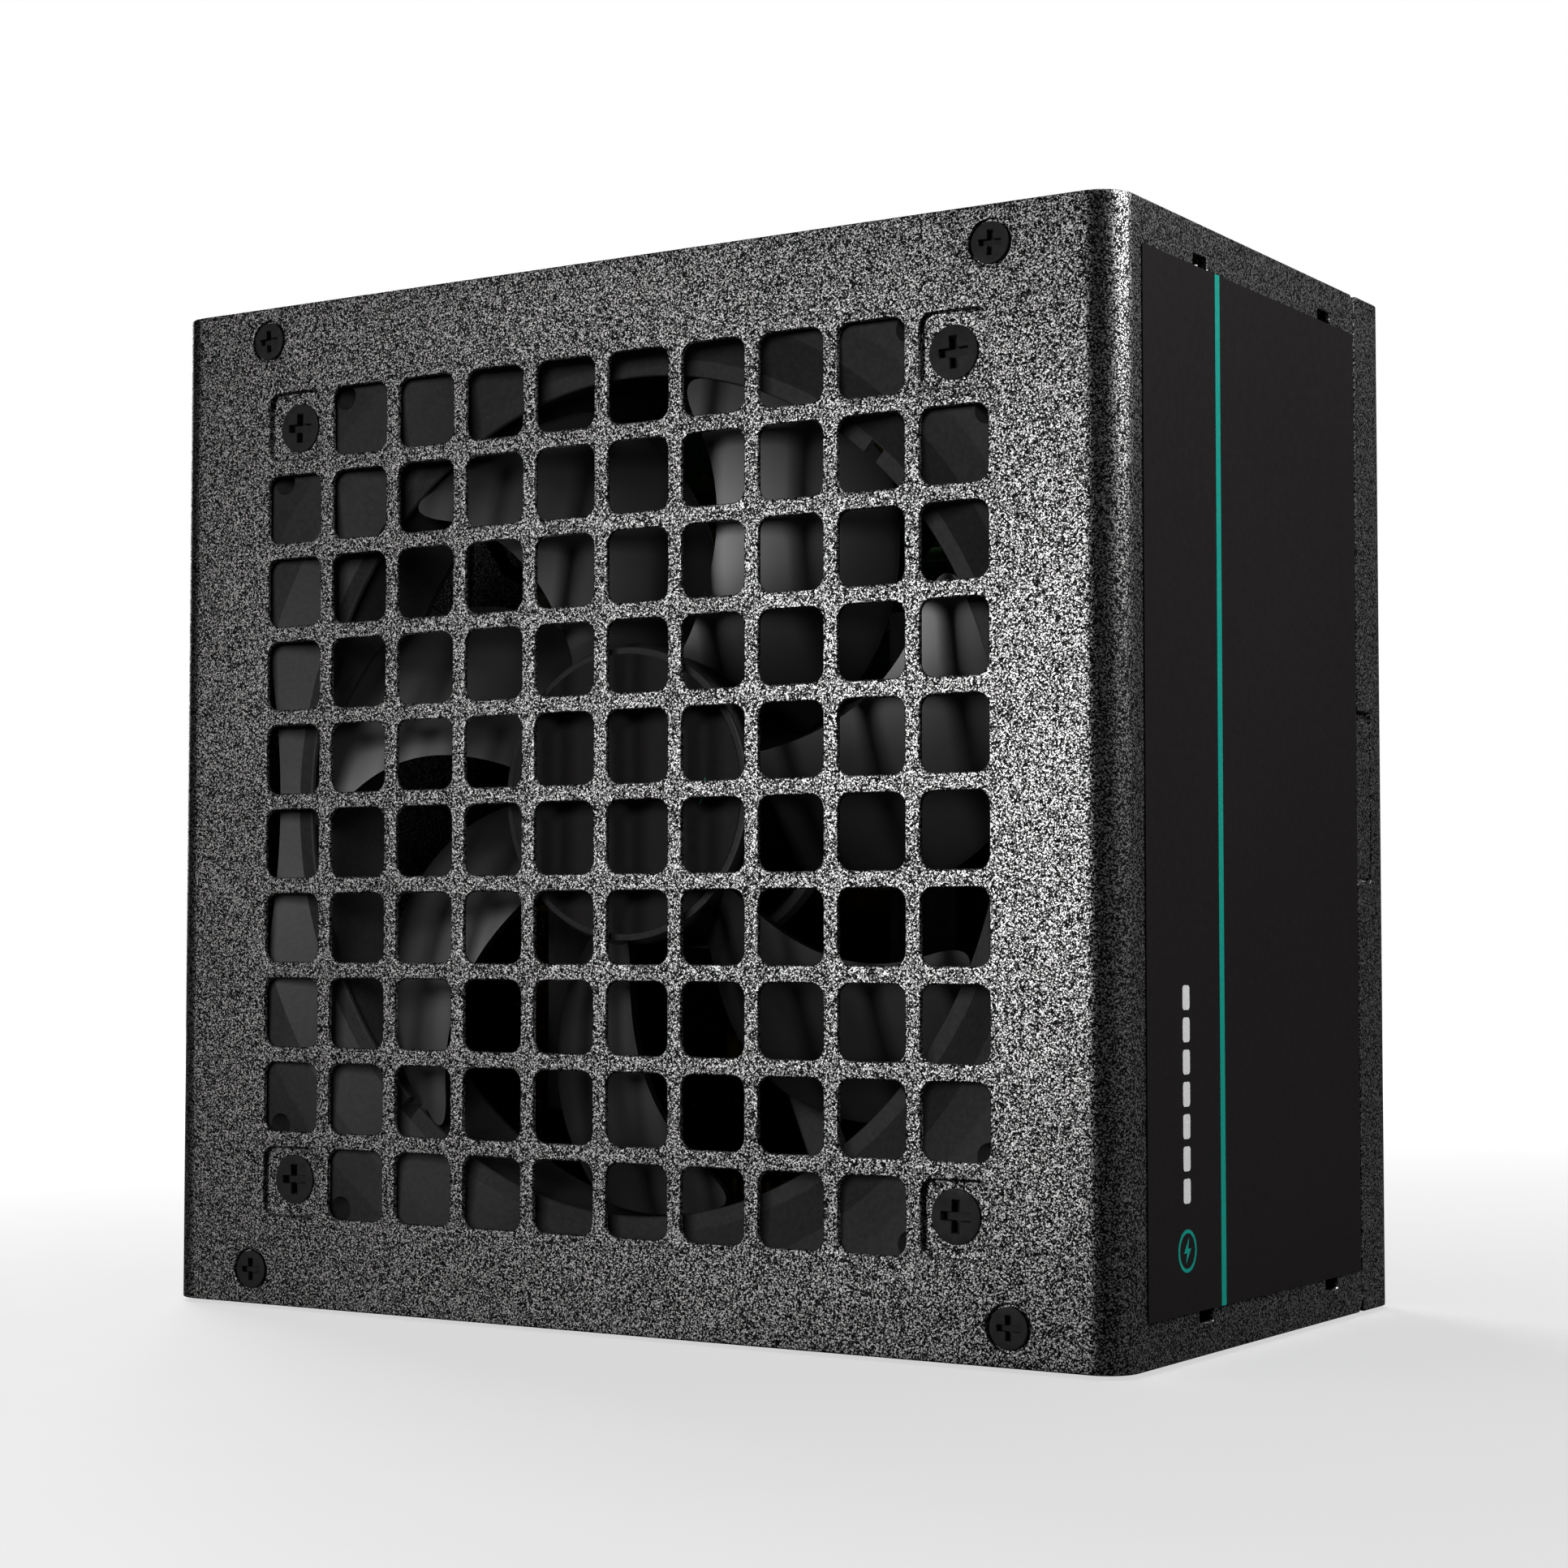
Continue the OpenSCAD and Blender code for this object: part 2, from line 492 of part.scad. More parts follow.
module mains_wires() color([0.15, 0.15, 0.16]) {
    wire([[inlet_x - 16, inlet_y - 5, case_d - 24.8], [inlet_x - 16, inlet_y + 2, 108], [inlet_x - 16, 27, 105], [inlet_x - 16, board_y - 1.2, 104]], 1.1);
    wire([[inlet_x + 17, inlet_y - 6, case_d - 24.8], [switch_x - 12, inlet_y - 7, 111.5], [switch_x - 3.4, inlet_y - 5, 110.8]], 1.1);
    wire([[switch_x + 3.4, inlet_y + 5, 110.8], [switch_x + 9, inlet_y + 14, 107], [switch_x + 9, 27, 105], [switch_x + 9, board_y - 1.2, 104]], 1.1);
}

module earth_wire() color([0.25, 0.50, 0.20]) {
    wire([[inlet_x + 6, inlet_y - 7, case_d - 24.8], [inlet_x + 14, -1, 106], [20, 2, 104], [54, 12, 107], [67, 28, 108.5], [67.3, 37.6, 110], [66.6, 39.3, 111.1]], 1.0);
    // ring terminal under the earth screw
    translate([62, 38.9, 112]) rotate([-90, 0, 0]) difference() {
        cylinder(r = 3.9, h = 0.8, $fn = 12);
        translate([0, 0, -1]) cylinder(r = 2.1, h = 3, $fn = 12);
    }
}

module earth_screw() color(steel_grey) translate([62, 38.9, 112]) rotate([-90, 0, 0]) difference() {
    union() {
        translate([0, 0, -1.4]) cylinder(r = 3.6, h = 1.4, $fn = 48);
        translate([0, 0, -0.5]) cylinder(r = 2.0, h = 3.7, $fn = 32);
    }
    translate([0, 0, -1.4]) rotate([180, 0, 0]) cross_cut(3.4, 0.8, 0.9);
}

// ---------------------------------------------------------- power switch

// Housing with a bezel, a well for the rocker and two pivot holes
module switch_housing() color(plastic_black) translate([switch_x, inlet_y, 0]) difference() {
    union() {
        translate([0, 0, case_d]) linear_extrude(height = 1.8) polygon(rounded(15, 21, 1));
        translate([-6.4, -9.4, case_d - 17]) cube([12.8, 18.8, 17.5]);
    }
    translate([-5.2, -8.35, case_d - 7.4]) cube([10.4, 16.7, 12]);
    translate([-6, 0, rocker_z]) rotate([0, 90, 0]) cylinder(r = 1.25, h = 12, $fn = 32);
    for (s = [-1, 1]) translate([-3.2, s * 5 - 0.42, case_d - 18]) cube([6.4, 0.84, 6]);
}

module switch_rocker() color([0.06, 0.06, 0.07]) translate([switch_x, inlet_y, rocker_z]) rotate([-rocker_tilt, 0, 0]) {
    rotate([90, 0, 90]) translate([0, 0, -5]) linear_extrude(height = 10) intersection() {
        circle(r = 8.15, $fn = 96);
        polygon([[-9, 2.1 + 9 * tan(rocker_tilt)], [0, 2.1], [9, 2.1 + 9 * tan(rocker_tilt)], [9, -0.4], [4, -3.4], [-4, -3.4], [-9, -0.4]]);
    }
    translate([-5.7, 0, 0]) rotate([0, 90, 0]) cylinder(r = 1.2, h = 11.4, $fn = 32);
}

module switch_terminals() color([0.80, 0.66, 0.30]) translate([switch_x, inlet_y, 0])
    for (s = [-1, 1]) translate([-3.15, s * 5 - 0.4, case_d - 27]) cube([6.3, 0.8, 15]);

// ------------------------------------------------------------ main board

board_x = 67;
board_z0 = 20;
board_z1 = case_d - 8;
standoff_at = [[-61, board_z0 + 5], [61, board_z0 + 5], [-61, board_z1 - 5], [61, board_z1 - 5]];

module insulation_sheet() color([0.85, 0.85, 0.80, 0.9]) difference() {
    translate([-66, back_in - 0.3, board_z0 - 2]) cube([132, 0.25, board_z1 - board_z0 + 2]);
    for (p = standoff_at) translate([p[0], back_in - 1, p[1]]) rotate([-90, 0, 0]) cylinder(r = 4.5, h = 3, $fn = 32);
    translate([62, back_in - 1, 112]) rotate([-90, 0, 0]) cylinder(r = 5, h = 3, $fn = 32);
}

module board_standoffs() color([0.80, 0.66, 0.30])
    for (p = standoff_at) translate([p[0], board_y + board_t, p[1]]) rotate([-90, 0, 0]) difference() {
        cylinder(r = 3, h = back_in - board_y - board_t, $fn = 6);
        translate([0, 0, -1]) cylinder(r = 1.51, h = 5.5, $fn = 32);
    }

module board_screws() color(steel_grey)
    for (p = standoff_at) on_board(p[0], p[1]) difference() {
        union() {
            cylinder(r = 2.8, h = 1.7, $fn = 48);
            translate([0, 0, -5]) cylinder(r = 1.5, h = 5.2, $fn = 32);
        }
        translate([0, 0, 1.7]) cross_cut(3, 0.75, 0.9);
    }

module main_board() color(board_green) difference() {
    translate([-board_x, board_y, board_z0]) cube([2 * board_x, board_t, board_z1 - board_z0]);
    for (p = standoff_at) translate([p[0], board_y - 1, p[1]]) rotate([-90, 0, 0]) cylinder(r = 1.65, h = 4, $fn = 32);
    // cut-out round the earth screw
    translate([55.5, board_y - 1, 104.5]) cube([12, 4, 13]);
}

module line_fuse() color([0.80, 0.80, 0.78]) on_board(-61, 108) {
    translate([-2.6, -10, 0]) cube([5.2, 4, 3.5]);
    translate([-2.6, 6, 0]) cube([5.2, 4, 3.5]);
    translate([0, 10, 5.6]) rotate([90, 0, 0]) cylinder(r = 2.5, h = 20, $fn = 32);
}

module filter_capacitors() color([0.85, 0.72, 0.15]) {
    on_board(-38, 114) translate([-9, -4, 0]) cube([18, 8, 12.5]);
    on_board(-50, 60) translate([-13, -5, 0]) cube([26, 10, 20]);
    for (x = [-22, -12, -2]) on_board(x, 124) translate([0, 2, 5.6]) rotate([90, 0, 0]) cylinder(r = 4.2, h = 3.6, $fn = 32);
}

module toroid(ri, ro, h) difference() {
    cylinder(r = ro, h = h, $fn = 72);
    translate([0, 0, -1]) cylinder(r = ri, h = h + 2, $fn = 72);
}

// Turns wound over a toroid: a ring of loops that hug the core
module loops(ri, ro, h, count, wire_d, from, to) for (i = [0:count - 1])
    rotate(from + (to - from) * i / (count - 1)) difference() {
        translate([ri - wire_d, -wire_d / 2, -wire_d]) cube([ro - ri + 2 * wire_d, wire_d, h + 2 * wire_d]);
        translate([ri - 0.06, -wire_d, -0.02]) cube([ro - ri + 0.08, wire_d * 2, h + 0.04]);
    }

module filter_choke_core() color([0.12, 0.25, 0.20]) on_board(-50, 86) translate([0, 0, 1.6]) toroid(6, 11, 11);
module filter_choke_windings() color(copper) on_board(-50, 86) translate([0, 0, 1.6]) {
    loops(6, 11, 11, 9, 1.0, 30, 150);
    loops(6, 11, 11, 9, 1.0, 210, 330);
}

module inrush_relay() color([0.15, 0.20, 0.35]) on_board(26, 118) translate([-10, -6, 0]) cube([20, 12, 13]);

module bridge_rectifier() color([0.10, 0.10, 0.11]) on_board(-50, 70.5) difference() {
    translate([-15, -2, 3]) cube([30, 4, 20]);
    translate([0, 5, 18]) rotate([90, 0, 0]) cylinder(r = 1.8, h = 10, $fn = 32);
}

module pfc_choke_core() color([0.70, 0.62, 0.20]) on_board(-46, 38) translate([0, 0, 1.6]) toroid(8, 15, 13);
module pfc_choke_winding() color(copper) on_board(-46, 38) translate([0, 0, 1.6]) loops(8, 15, 13, 26, 1.2, 10, 350);

// Upright aluminium plate with fins across its top
module heatsink(z0, z1, h, side) {
    on_board(0, 0) translate([-1.5, z0, 0]) cube([3, z1 - z0, h]);
    for (i = [0:4]) on_board(0, 0)
        translate([side > 0 ? 1.4 : -8.4, z0, h - 2 - i * 3.4]) cube([7, z1 - z0, 1.2]);
}

module primary_heatsink() color(alloy) translate([-27, 0, 0]) difference() {
    heatsink(26, 98, 42, -1);
    for (z = [38, 56, 74, 90]) translate([0, board_y - 19, z]) rotate([0, 90, 0]) cylinder(r = 1.4, h = 6, center = true, $fn = 32);
}

// Three-legged package that stands against a plate, face towards +x
module power_package() difference() {
    union() {
        translate([0, -7.8, 5]) cube([4.4, 15.6, 16]);
        for (y = [-5.4, 0, 5.4]) translate([1.6, y - 0.6, -2.5]) cube([0.8, 1.2, 8]);
    }
    translate([-1, 0, 19]) rotate([0, 90, 0]) cylinder(r = 1.7, h = 8, $fn = 32);
}

module power_transistors() color([0.10, 0.10, 0.11])
    for (z = [38, 56, 74]) on_board(-25.45, z) translate([0, 0, 0.0]) intersection() {
        power_package();
        translate([-1, -9, 0.02]) cube([8, 18, 30]);
    }

module bulk_capacitor() color([0.10, 0.12, 0.25]) on_board(-1, 81) difference() {
    union() {
        cylinder(r = 15, h = 43.5, $fn = 96);
        translate([0, 0, 43.2]) cylinder(r = 13.6, h = 0.9, $fn = 96);
    }
    translate([0, 0, 3.4]) difference() {
        cylinder(r = 16, h = 1.4, $fn = 96);
        translate([0, 0, -1]) cylinder(r = 14.5, h = 4, $fn = 96);
    }
}

module transformer_core() color([0.20, 0.20, 0.21]) on_board(-2, 46) translate([0, 0, 1.2]) difference() {
    translate([-16.5, -9, 0]) cube([33, 18, 32]);
    translate([-11.5, -10, 5]) cube([23, 20, 22]);
}
module transformer_windings() color([0.85, 0.70, 0.20]) on_board(-2, 46)
    translate([-11.2, -13.5, 6.4]) cube([22.4, 27, 21.4]);

module standby_transformer() color([0.85, 0.70, 0.20]) on_board(43, 103) union() {
    translate([-9.5, -5, 1]) cube([19, 10, 16]);
    translate([-6, -8, 4]) cube([12, 16, 10]);
}

module secondary_heatsink() color(alloy) translate([21, 0, 0]) difference() {
    heatsink(28, 96, 36, 1);
    for (z = [40, 60, 80]) translate([0, board_y - 19, z]) rotate([0, 90, 0]) cylinder(r = 1.4, h = 6, center = true, $fn = 32);
}
module output_rectifiers() color([0.10, 0.10, 0.11])
    for (z = [40, 60, 80]) on_board(22.55, z) intersection() {
        power_package();
        translate([-1, -9, 0.02]) cube([8, 18, 16]);
    }

module output_choke_core() color([0.70, 0.62, 0.20]) on_board(47.4, 78) translate([0, 0, 1.6]) toroid(7, 12.5, 13);
module output_choke_winding() color(copper) on_board(47.4, 78) translate([0, 0, 1.6]) loops(7, 12.5, 13, 20, 1.4, 15, 345);

// Upright electrolytic capacitor with a rolled groove near its foot
module can(r, h) difference() {
    cylinder(r = r, h = h, $fn = 48);
    translate([0, 0, 2]) difference() {
        cylinder(r = r + 1, h = 0.9, $fn = 48);
        translate([0, 0, -1]) cylinder(r = r - 0.4, h = 3, $fn = 48);
    }
}

module output_capacitors() color([0.12, 0.14, 0.18]) {
    for (x = [38, 50, 61.5], z = [38, 51]) on_board(x, z) can(5, 21);
    for (x = [36, 45, 54]) on_board(x, 27) can(4, 12);
}

module controller_board() color(board_green) on_board(64.4, 0) {
    translate([-0.8, 64, 0]) cube([1.6, 34, 24]);
    translate([-2.1, 72, 9]) cube([1.5, 9, 8]);
    translate([-2.1, 86, 9]) cube([1.5, 6, 6]);
}

module fan_header() color([0.90, 0.90, 0.86]) on_board(48, 126) difference() {
    translate([-3.4, -2.6, 0]) cube([6.9, 5.2, 8]);
    translate([-2.6, -1.8, 1.4]) cube([5.3, 3.6, 7]);
}

// ---------------------------------------------------------- cable sockets

module socket_board() color(board_green) difference() {
    translate([-65, -11, socket_len + 0.1]) cube([130, 42, 1.6]);
    for (s = all_sockets(), i = [0:s[2] - 1], j = [-0.5, 0.5])
        translate([s[0] + (i - (s[2] - 1) / 2) * pin_pitch - 0.55, s[1] + j * pin_pitch - 0.55, socket_len - 1]) cube([1.1, 1.1, 4]);
}

module cable_socket(s) translate([s[0], s[1], 0]) difference() {
    union() {
        translate([-socket_w(s[2]) / 2, -4.8, 0.06]) cube([socket_w(s[2]), 9.6, socket_len]);
        translate([-1.7, -6.1, sheet + 0.1]) cube([3.4, 1.5, 5]);
    }
    for (i = [0:s[2] - 1], j = [-0.5, 0.5])
        translate([(i - (s[2] - 1) / 2) * pin_pitch - 1.75, j * pin_pitch - 1.75, -1]) cube([3.5, 3.5, 11]);
    for (i = [0:s[2] - 1], j = [-0.5, 0.5])
        translate([(i - (s[2] - 1) / 2) * pin_pitch - 0.52, j * pin_pitch - 0.52, 9]) cube([1.04, 1.04, 8]);
}

module motherboard_sockets() color(sleeve_black) for (s = wide_sockets()) cable_socket(s);
module graphics_sockets() color(sleeve_black) for (s = eight_sockets()) cable_socket(s);
module drive_sockets() color(sleeve_black) for (s = six_sockets()) cable_socket(s);

module socket_pins() color([0.80, 0.66, 0.30])
    for (s = all_sockets(), i = [0:s[2] - 1], j = [-0.5, 0.5])
        translate([s[0] + (i - (s[2] - 1) / 2) * pin_pitch - 0.5, s[1] + j * pin_pitch - 0.5, 3]) cube([1, 1, 14]);

module bus_bars() color(copper)
    for (x = [4, 24, 44]) translate([x, 0, 0]) {
        translate([0, 29, socket_len + 1.72]) cube([10, 1.4, 8.4]);
        translate([0, 29, socket_len + 8.7]) cube([10, board_y - 29.02, 1.4]);
    }

fan_cover();
base_shell();
cover_screws();
fan_screws();
right_side_label();
left_side_label();
back_label();
fan_frame();
fan_rotor();
fan_hub_label();
fan_magnet_ring();
fan_shaft();
shaft_retainer();
fan_bearing();
fan_stator_core();
fan_coils();
fan_circuit_board();
fan_lead();
inlet_housing();
inlet_pins();
inlet_screws();
inlet_board();
inlet_capacitor();
switch_housing();
switch_rocker();
switch_terminals();
mains_wires();
earth_wire();
earth_screw();
insulation_sheet();
board_standoffs();
board_screws();
main_board();
line_fuse();
filter_capacitors();
filter_choke_core();
filter_choke_windings();
inrush_relay();
bridge_rectifier();
pfc_choke_core();
pfc_choke_winding();
primary_heatsink();
power_transistors();
bulk_capacitor();
transformer_core();
transformer_windings();
standby_transformer();
secondary_heatsink();
output_rectifiers();
output_choke_core();
output_choke_winding();
output_capacitors();
controller_board();
fan_header();
socket_board();
motherboard_sockets();
graphics_sockets();
drive_sockets();
socket_pins();
bus_bars();
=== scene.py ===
import json
import math

import bmesh
import bpy
from mathutils import Matrix, Vector

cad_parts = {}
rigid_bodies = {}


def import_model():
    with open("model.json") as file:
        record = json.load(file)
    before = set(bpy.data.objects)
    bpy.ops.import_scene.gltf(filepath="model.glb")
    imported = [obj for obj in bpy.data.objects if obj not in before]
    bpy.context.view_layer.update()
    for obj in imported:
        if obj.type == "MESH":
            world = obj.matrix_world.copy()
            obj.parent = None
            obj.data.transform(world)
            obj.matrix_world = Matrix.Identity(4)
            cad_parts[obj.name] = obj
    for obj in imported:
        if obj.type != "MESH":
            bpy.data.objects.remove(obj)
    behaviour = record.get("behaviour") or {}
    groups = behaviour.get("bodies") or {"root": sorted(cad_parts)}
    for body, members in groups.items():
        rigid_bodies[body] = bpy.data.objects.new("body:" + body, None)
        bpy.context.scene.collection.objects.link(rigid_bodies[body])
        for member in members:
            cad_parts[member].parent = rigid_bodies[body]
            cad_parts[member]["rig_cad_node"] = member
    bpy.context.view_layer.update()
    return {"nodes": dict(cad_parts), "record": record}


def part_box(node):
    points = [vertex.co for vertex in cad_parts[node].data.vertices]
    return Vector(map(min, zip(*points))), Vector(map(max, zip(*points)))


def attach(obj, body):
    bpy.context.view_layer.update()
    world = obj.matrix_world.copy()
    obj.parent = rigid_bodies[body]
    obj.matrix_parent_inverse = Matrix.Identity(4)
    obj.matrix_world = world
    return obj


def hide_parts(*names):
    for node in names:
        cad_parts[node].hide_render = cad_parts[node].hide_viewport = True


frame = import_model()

NODES = frame["nodes"]
RECORD = frame["record"]
MM = 0.001

# ------------------------------------------------------------------ numbers, in mm, from the frame

lo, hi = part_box("base_shell")
HX = hi.x / MM                       # half the case's width
HY = hi.y / MM                       # back plate; the fan face is at -HY
CASE_D = hi.z / MM                   # top panel
FAN_Z = CASE_D / 2
SHEET = 0.8
SKIN = 0.55                          # thickness shown at the cover's coated edges
BEND = 4.4
lo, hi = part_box("fan_frame")
FAN_FRONT = lo.y / MM
FAN_DEPTH = (hi.y - lo.y) / MM
FAN_SIZE = (hi.x - lo.x) / MM
lo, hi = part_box("inlet_housing")
INLET = ((lo.x + hi.x) / 2 / MM, (lo.y + hi.y) / 2 / MM)
lo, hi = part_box("switch_housing")
SWITCH = ((lo.x + hi.x) / 2 / MM, (lo.y + hi.y) / 2 / MM)
SEAM_Y = HY - 12.1
SEAM_GAP = 0.25
PITCH = 11.74
HOLE = 9.5
HOLE_R = 1.7
RECESS = 1.3
FLOOR = 0.85                         # depth of the recess floor
MOUNTS = [(m["pos_m"][0] / MM, m["pos_m"][1] / MM) for m in RECORD["mounts"] if m["kind"] == "threaded_hole"]
COVER_SCREWS = [(-57.9, CASE_D - 4.75), (57.9, CASE_D - 4.75), (-59.9, 4.7), (59.9, 4.7)]
FAN_HOLE = 52.5
DUCT_R = 57.0
HUB_R = 20.0
HUB_FRONT = -3.4

# ------------------------------------------------------------------ outlines


def arc(cx, cy, r, a0, a1, n=6):
    return [(cx + r * math.cos(math.radians(a0 + (a1 - a0) * i / n)), cy + r * math.sin(math.radians(a0 + (a1 - a0) * i / n))) for i in range(n + 1)]


def rounded(w, h, r, n=6, cx=0.0, cy=0.0):
    """Rectangle with rounded corners, counter-clockwise."""
    return (arc(cx + w / 2 - r, cy + h / 2 - r, r, 0, 90, n) + arc(cx - w / 2 + r, cy + h / 2 - r, r, 90, 180, n)
            + arc(cx - w / 2 + r, cy - h / 2 + r, r, 180, 270, n) + arc(cx + w / 2 - r, cy - h / 2 + r, r, 270, 360, n))


def ring(cx, cy, r, n=32):
    return [(cx + r * math.cos(2 * math.pi * i / n), cy + r * math.sin(2 * math.pi * i / n)) for i in range(n)]


def hexagon(cx, cy, flat, turn=30.0):
    r = flat / 2 / math.cos(math.radians(30))
    return [(cx + r * math.cos(math.radians(turn + 60 * i)), cy + r * math.sin(math.radians(turn + 60 * i))) for i in range(6)]


def soften(loop, r, n=3):
    """Rounds every corner of a loop with a fillet of about r."""
    out = []
    m = len(loop)
    for i in range(m):
        p0, p, p1 = Vector(loop[i - 1]), Vector(loop[i]), Vector(loop[(i + 1) % m])
        a, b = p0 - p, p1 - p
        if a.length < 1e-6 or b.length < 1e-6:
            continue
        la, lb = min(r, a.length * 0.45), min(r, b.length * 0.45)
        q0, q1 = p + a.normalized() * la, p + b.normalized() * lb
        if abs(a.normalized().dot(b.normalized()) + 1) < 1e-4:
            out.append((p.x, p.y))
            continue
        for k in range(n + 1):
            t = k / n
            v = q0 * (1 - t) ** 2 + p * 2 * t * (1 - t) + q1 * t ** 2
            out.append((v.x, v.y))
    return out


def clean(loop):
    out = []
    for p in loop:
        if not out or (abs(p[0] - out[-1][0]) + abs(p[1] - out[-1][1])) > 1e-5:
            out.append(p)
    if (abs(out[0][0] - out[-1][0]) + abs(out[0][1] - out[-1][1])) < 1e-5:
        out.pop()
    return out


def inset(loop, d):
    """Moves a loop towards its left by d: into the plate, for a counter-clockwise outline and for a clockwise hole."""
    if abs(d) < 1e-9:
        return list(loop)
    out = []
    m = len(loop)
    for i in range(m):
        p0, p, p1 = Vector(loop[i - 1]), Vector(loop[i]), Vector(loop[(i + 1) % m])
        a, b = (p - p0).normalized(), (p1 - p).normalized()
        na, nb = Vector((-a.y, a.x)), Vector((-b.y, b.x))
        k = 1 + na.dot(nb)
        v = p + (na + nb) * (d / max(k, 0.25))
        out.append((v.x, v.y))
    return out


def area(loop):
    return sum(loop[i - 1][0] * loop[i][1] - loop[i][0] * loop[i - 1][1] for i in range(len(loop))) / 2


# ------------------------------------------------------------------ solids built face by face


def add_ring(bm, pts, z):
    return [bm.verts.new((x, y, z)) for x, y in pts]


def skin(bm, a, b):
    n = len(a)
    for i in range(n):
        j = (i + 1) % n
        bm.faces.new((a[i], b[i], b[j], a[j]))


def fill(bm, rings):
    edges = []
    for r in rings:
        for i in range(len(r)):
            e = bm.edges.get((r[i], r[(i + 1) % len(r)]))
            if e is None:
                e = bm.edges.new((r[i], r[(i + 1) % len(r)]))
            edges.append(e)
    bmesh.ops.triangle_fill(bm, use_beauty=True, use_dissolve=False, edges=edges)


def add_plate(bm, loops, z0, z1, bevel=0.12, seg=2, bevel_back=None):
    """A plate between z0 and z1 with rounded edges. The first loop is the outline, the others are holes."""
    back = bevel if bevel_back is None else bevel_back
    t = z1 - z0
    prof = [(bevel * (1 - math.sin(k / seg * math.pi / 2)), bevel * (1 - math.cos(k / seg * math.pi / 2))) for k in range(seg + 1)] if bevel > 0 else [(0, 0)]
    tail = [(back * (1 - math.sin(k / seg * math.pi / 2)), t - back * (1 - math.cos(k / seg * math.pi / 2))) for k in range(seg, -1, -1)] if back > 0 else [(0, t)]
    prof = prof + tail
    first, last = [], []
    for n, loop in enumerate(loops):
        loop = clean(loop)
        if (area(loop) > 0) != (n == 0):
            loop = loop[::-1]
        rings = [add_ring(bm, inset(loop, d), z0 + w) for d, w in prof]
        for a, b in zip(rings[:-1], rings[1:]):
            skin(bm, a, b)
        first.append(rings[0])
        last.append(rings[-1])
    fill(bm, first)
    fill(bm, last)


def add_lathe(bm, profile, seg=64, cx=0.0, cy=0.0, closed=False):
    """Turns a list of (radius, z) about the z axis through cx, cy."""
    rings = []
    for r, z in profile:
        if r < 1e-6:
            rings.append([bm.verts.new((cx, cy, z))])
        else:
            rings.append(add_ring(bm, ring(cx, cy, r, seg), z))
    pairs = list(zip(rings[:-1], rings[1:]))
    if closed:
        pairs.append((rings[-1], rings[0]))
    for a, b in pairs:
        if len(a) == 1 and len(b) == 1:
            continue
        if len(a) == 1:
            for i in range(seg):
                bm.faces.new((a[0], b[i], b[(i + 1) % seg]))
        elif len(b) == 1:
            for i in range(seg):
                bm.faces.new((a[(i + 1) % seg], a[i], b[0]))
        else:
            skin(bm, a, b)


def round_profile(points, r, n=3):
    """Rounds the inner corners of an open profile by about r."""
    out = [points[0]]
    for i in range(1, len(points) - 1):
        p0, p, p1 = Vector(points[i - 1]), Vector(points[i]), Vector(points[i + 1])
        a, b = p0 - p, p1 - p
        la, lb = min(r, a.length * 0.45), min(r, b.length * 0.45)
        q0, q1 = p + a.normalized() * la, p + b.normalized() * lb
        for k in range(n + 1):
            t = k / n
            v = q0 * (1 - t) ** 2 + p * 2 * t * (1 - t) + q1 * t ** 2
            out.append((v.x, v.y))
    out.append(points[-1])
    return out


def cut(bm, axis, values):
    for v in values:
        co = (v, 0, 0) if axis == 0 else (0, v, 0)
        no = (1, 0, 0) if axis == 0 else (0, 1, 0)
        bmesh.ops.bisect_plane(bm, geom=bm.verts[:] + bm.edges[:] + bm.faces[:], dist=1e-5, plane_co=co, plane_no=no)


def remap(bm, f):
    for v in bm.verts:
        v.co = f(v.co.x, v.co.y, v.co.z)


def join(bm, other, matrix=None):
    """Adds other's geometry to bm, moved by matrix."""
    me = bpy.data.meshes.new("tmp")
    if matrix is not None:
        bmesh.ops.transform(other, matrix=matrix, verts=other.verts)
    other.to_mesh(me)
    other.free()
    bm.from_mesh(me)
    bpy.data.meshes.remove(me)


def piece(name, bm, mat, body="case", replaces=(), matrix=None, angle=35.0, weighted=True, smooth=True):
    """Turns a bmesh in mm into a piece of the object, in metres."""
    bmesh.ops.recalc_face_normals(bm, faces=bm.faces)
    if matrix is not None:
        bmesh.ops.transform(bm, matrix=matrix, verts=bm.verts)
    bmesh.ops.scale(bm, vec=(MM, MM, MM), verts=bm.verts)
    bmesh.ops.recalc_face_normals(bm, faces=bm.faces)
    me = bpy.data.meshes.new(name)
    bm.to_mesh(me)
    bm.free()
    if smooth:
        for p in me.polygons:
            p.use_smooth = True
        me.set_sharp_from_angle(angle=math.radians(angle))
    ob = bpy.data.objects.new(name, me)
    bpy.context.scene.collection.objects.link(ob)
    for m in (mat if isinstance(mat, (list, tuple)) else [mat]):
        me.materials.append(m)
    if weighted and smooth:
        w = ob.modifiers.new("normals", "WEIGHTED_NORMAL")
        w.mode = "FACE_AREA"
        w.weight = 60
        w.keep_sharp = True
    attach(ob, body)
    if replaces:
        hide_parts(*replaces)
    return ob


def facing(y, z=0.0):
    """Matrix that lays an x-y drawing on the fan side: its y becomes Z and its z points out of the case."""
    return Matrix(((1, 0, 0, 0), (0, 0, -1, y), (0, 1, 0, z), (0, 0, 0, 1)))


AT_FAN = facing(FAN_FRONT, FAN_Z)


def move(x, y, z):
    return Matrix.Translation((x, y, z))


# ------------------------------------------------------------------ materials


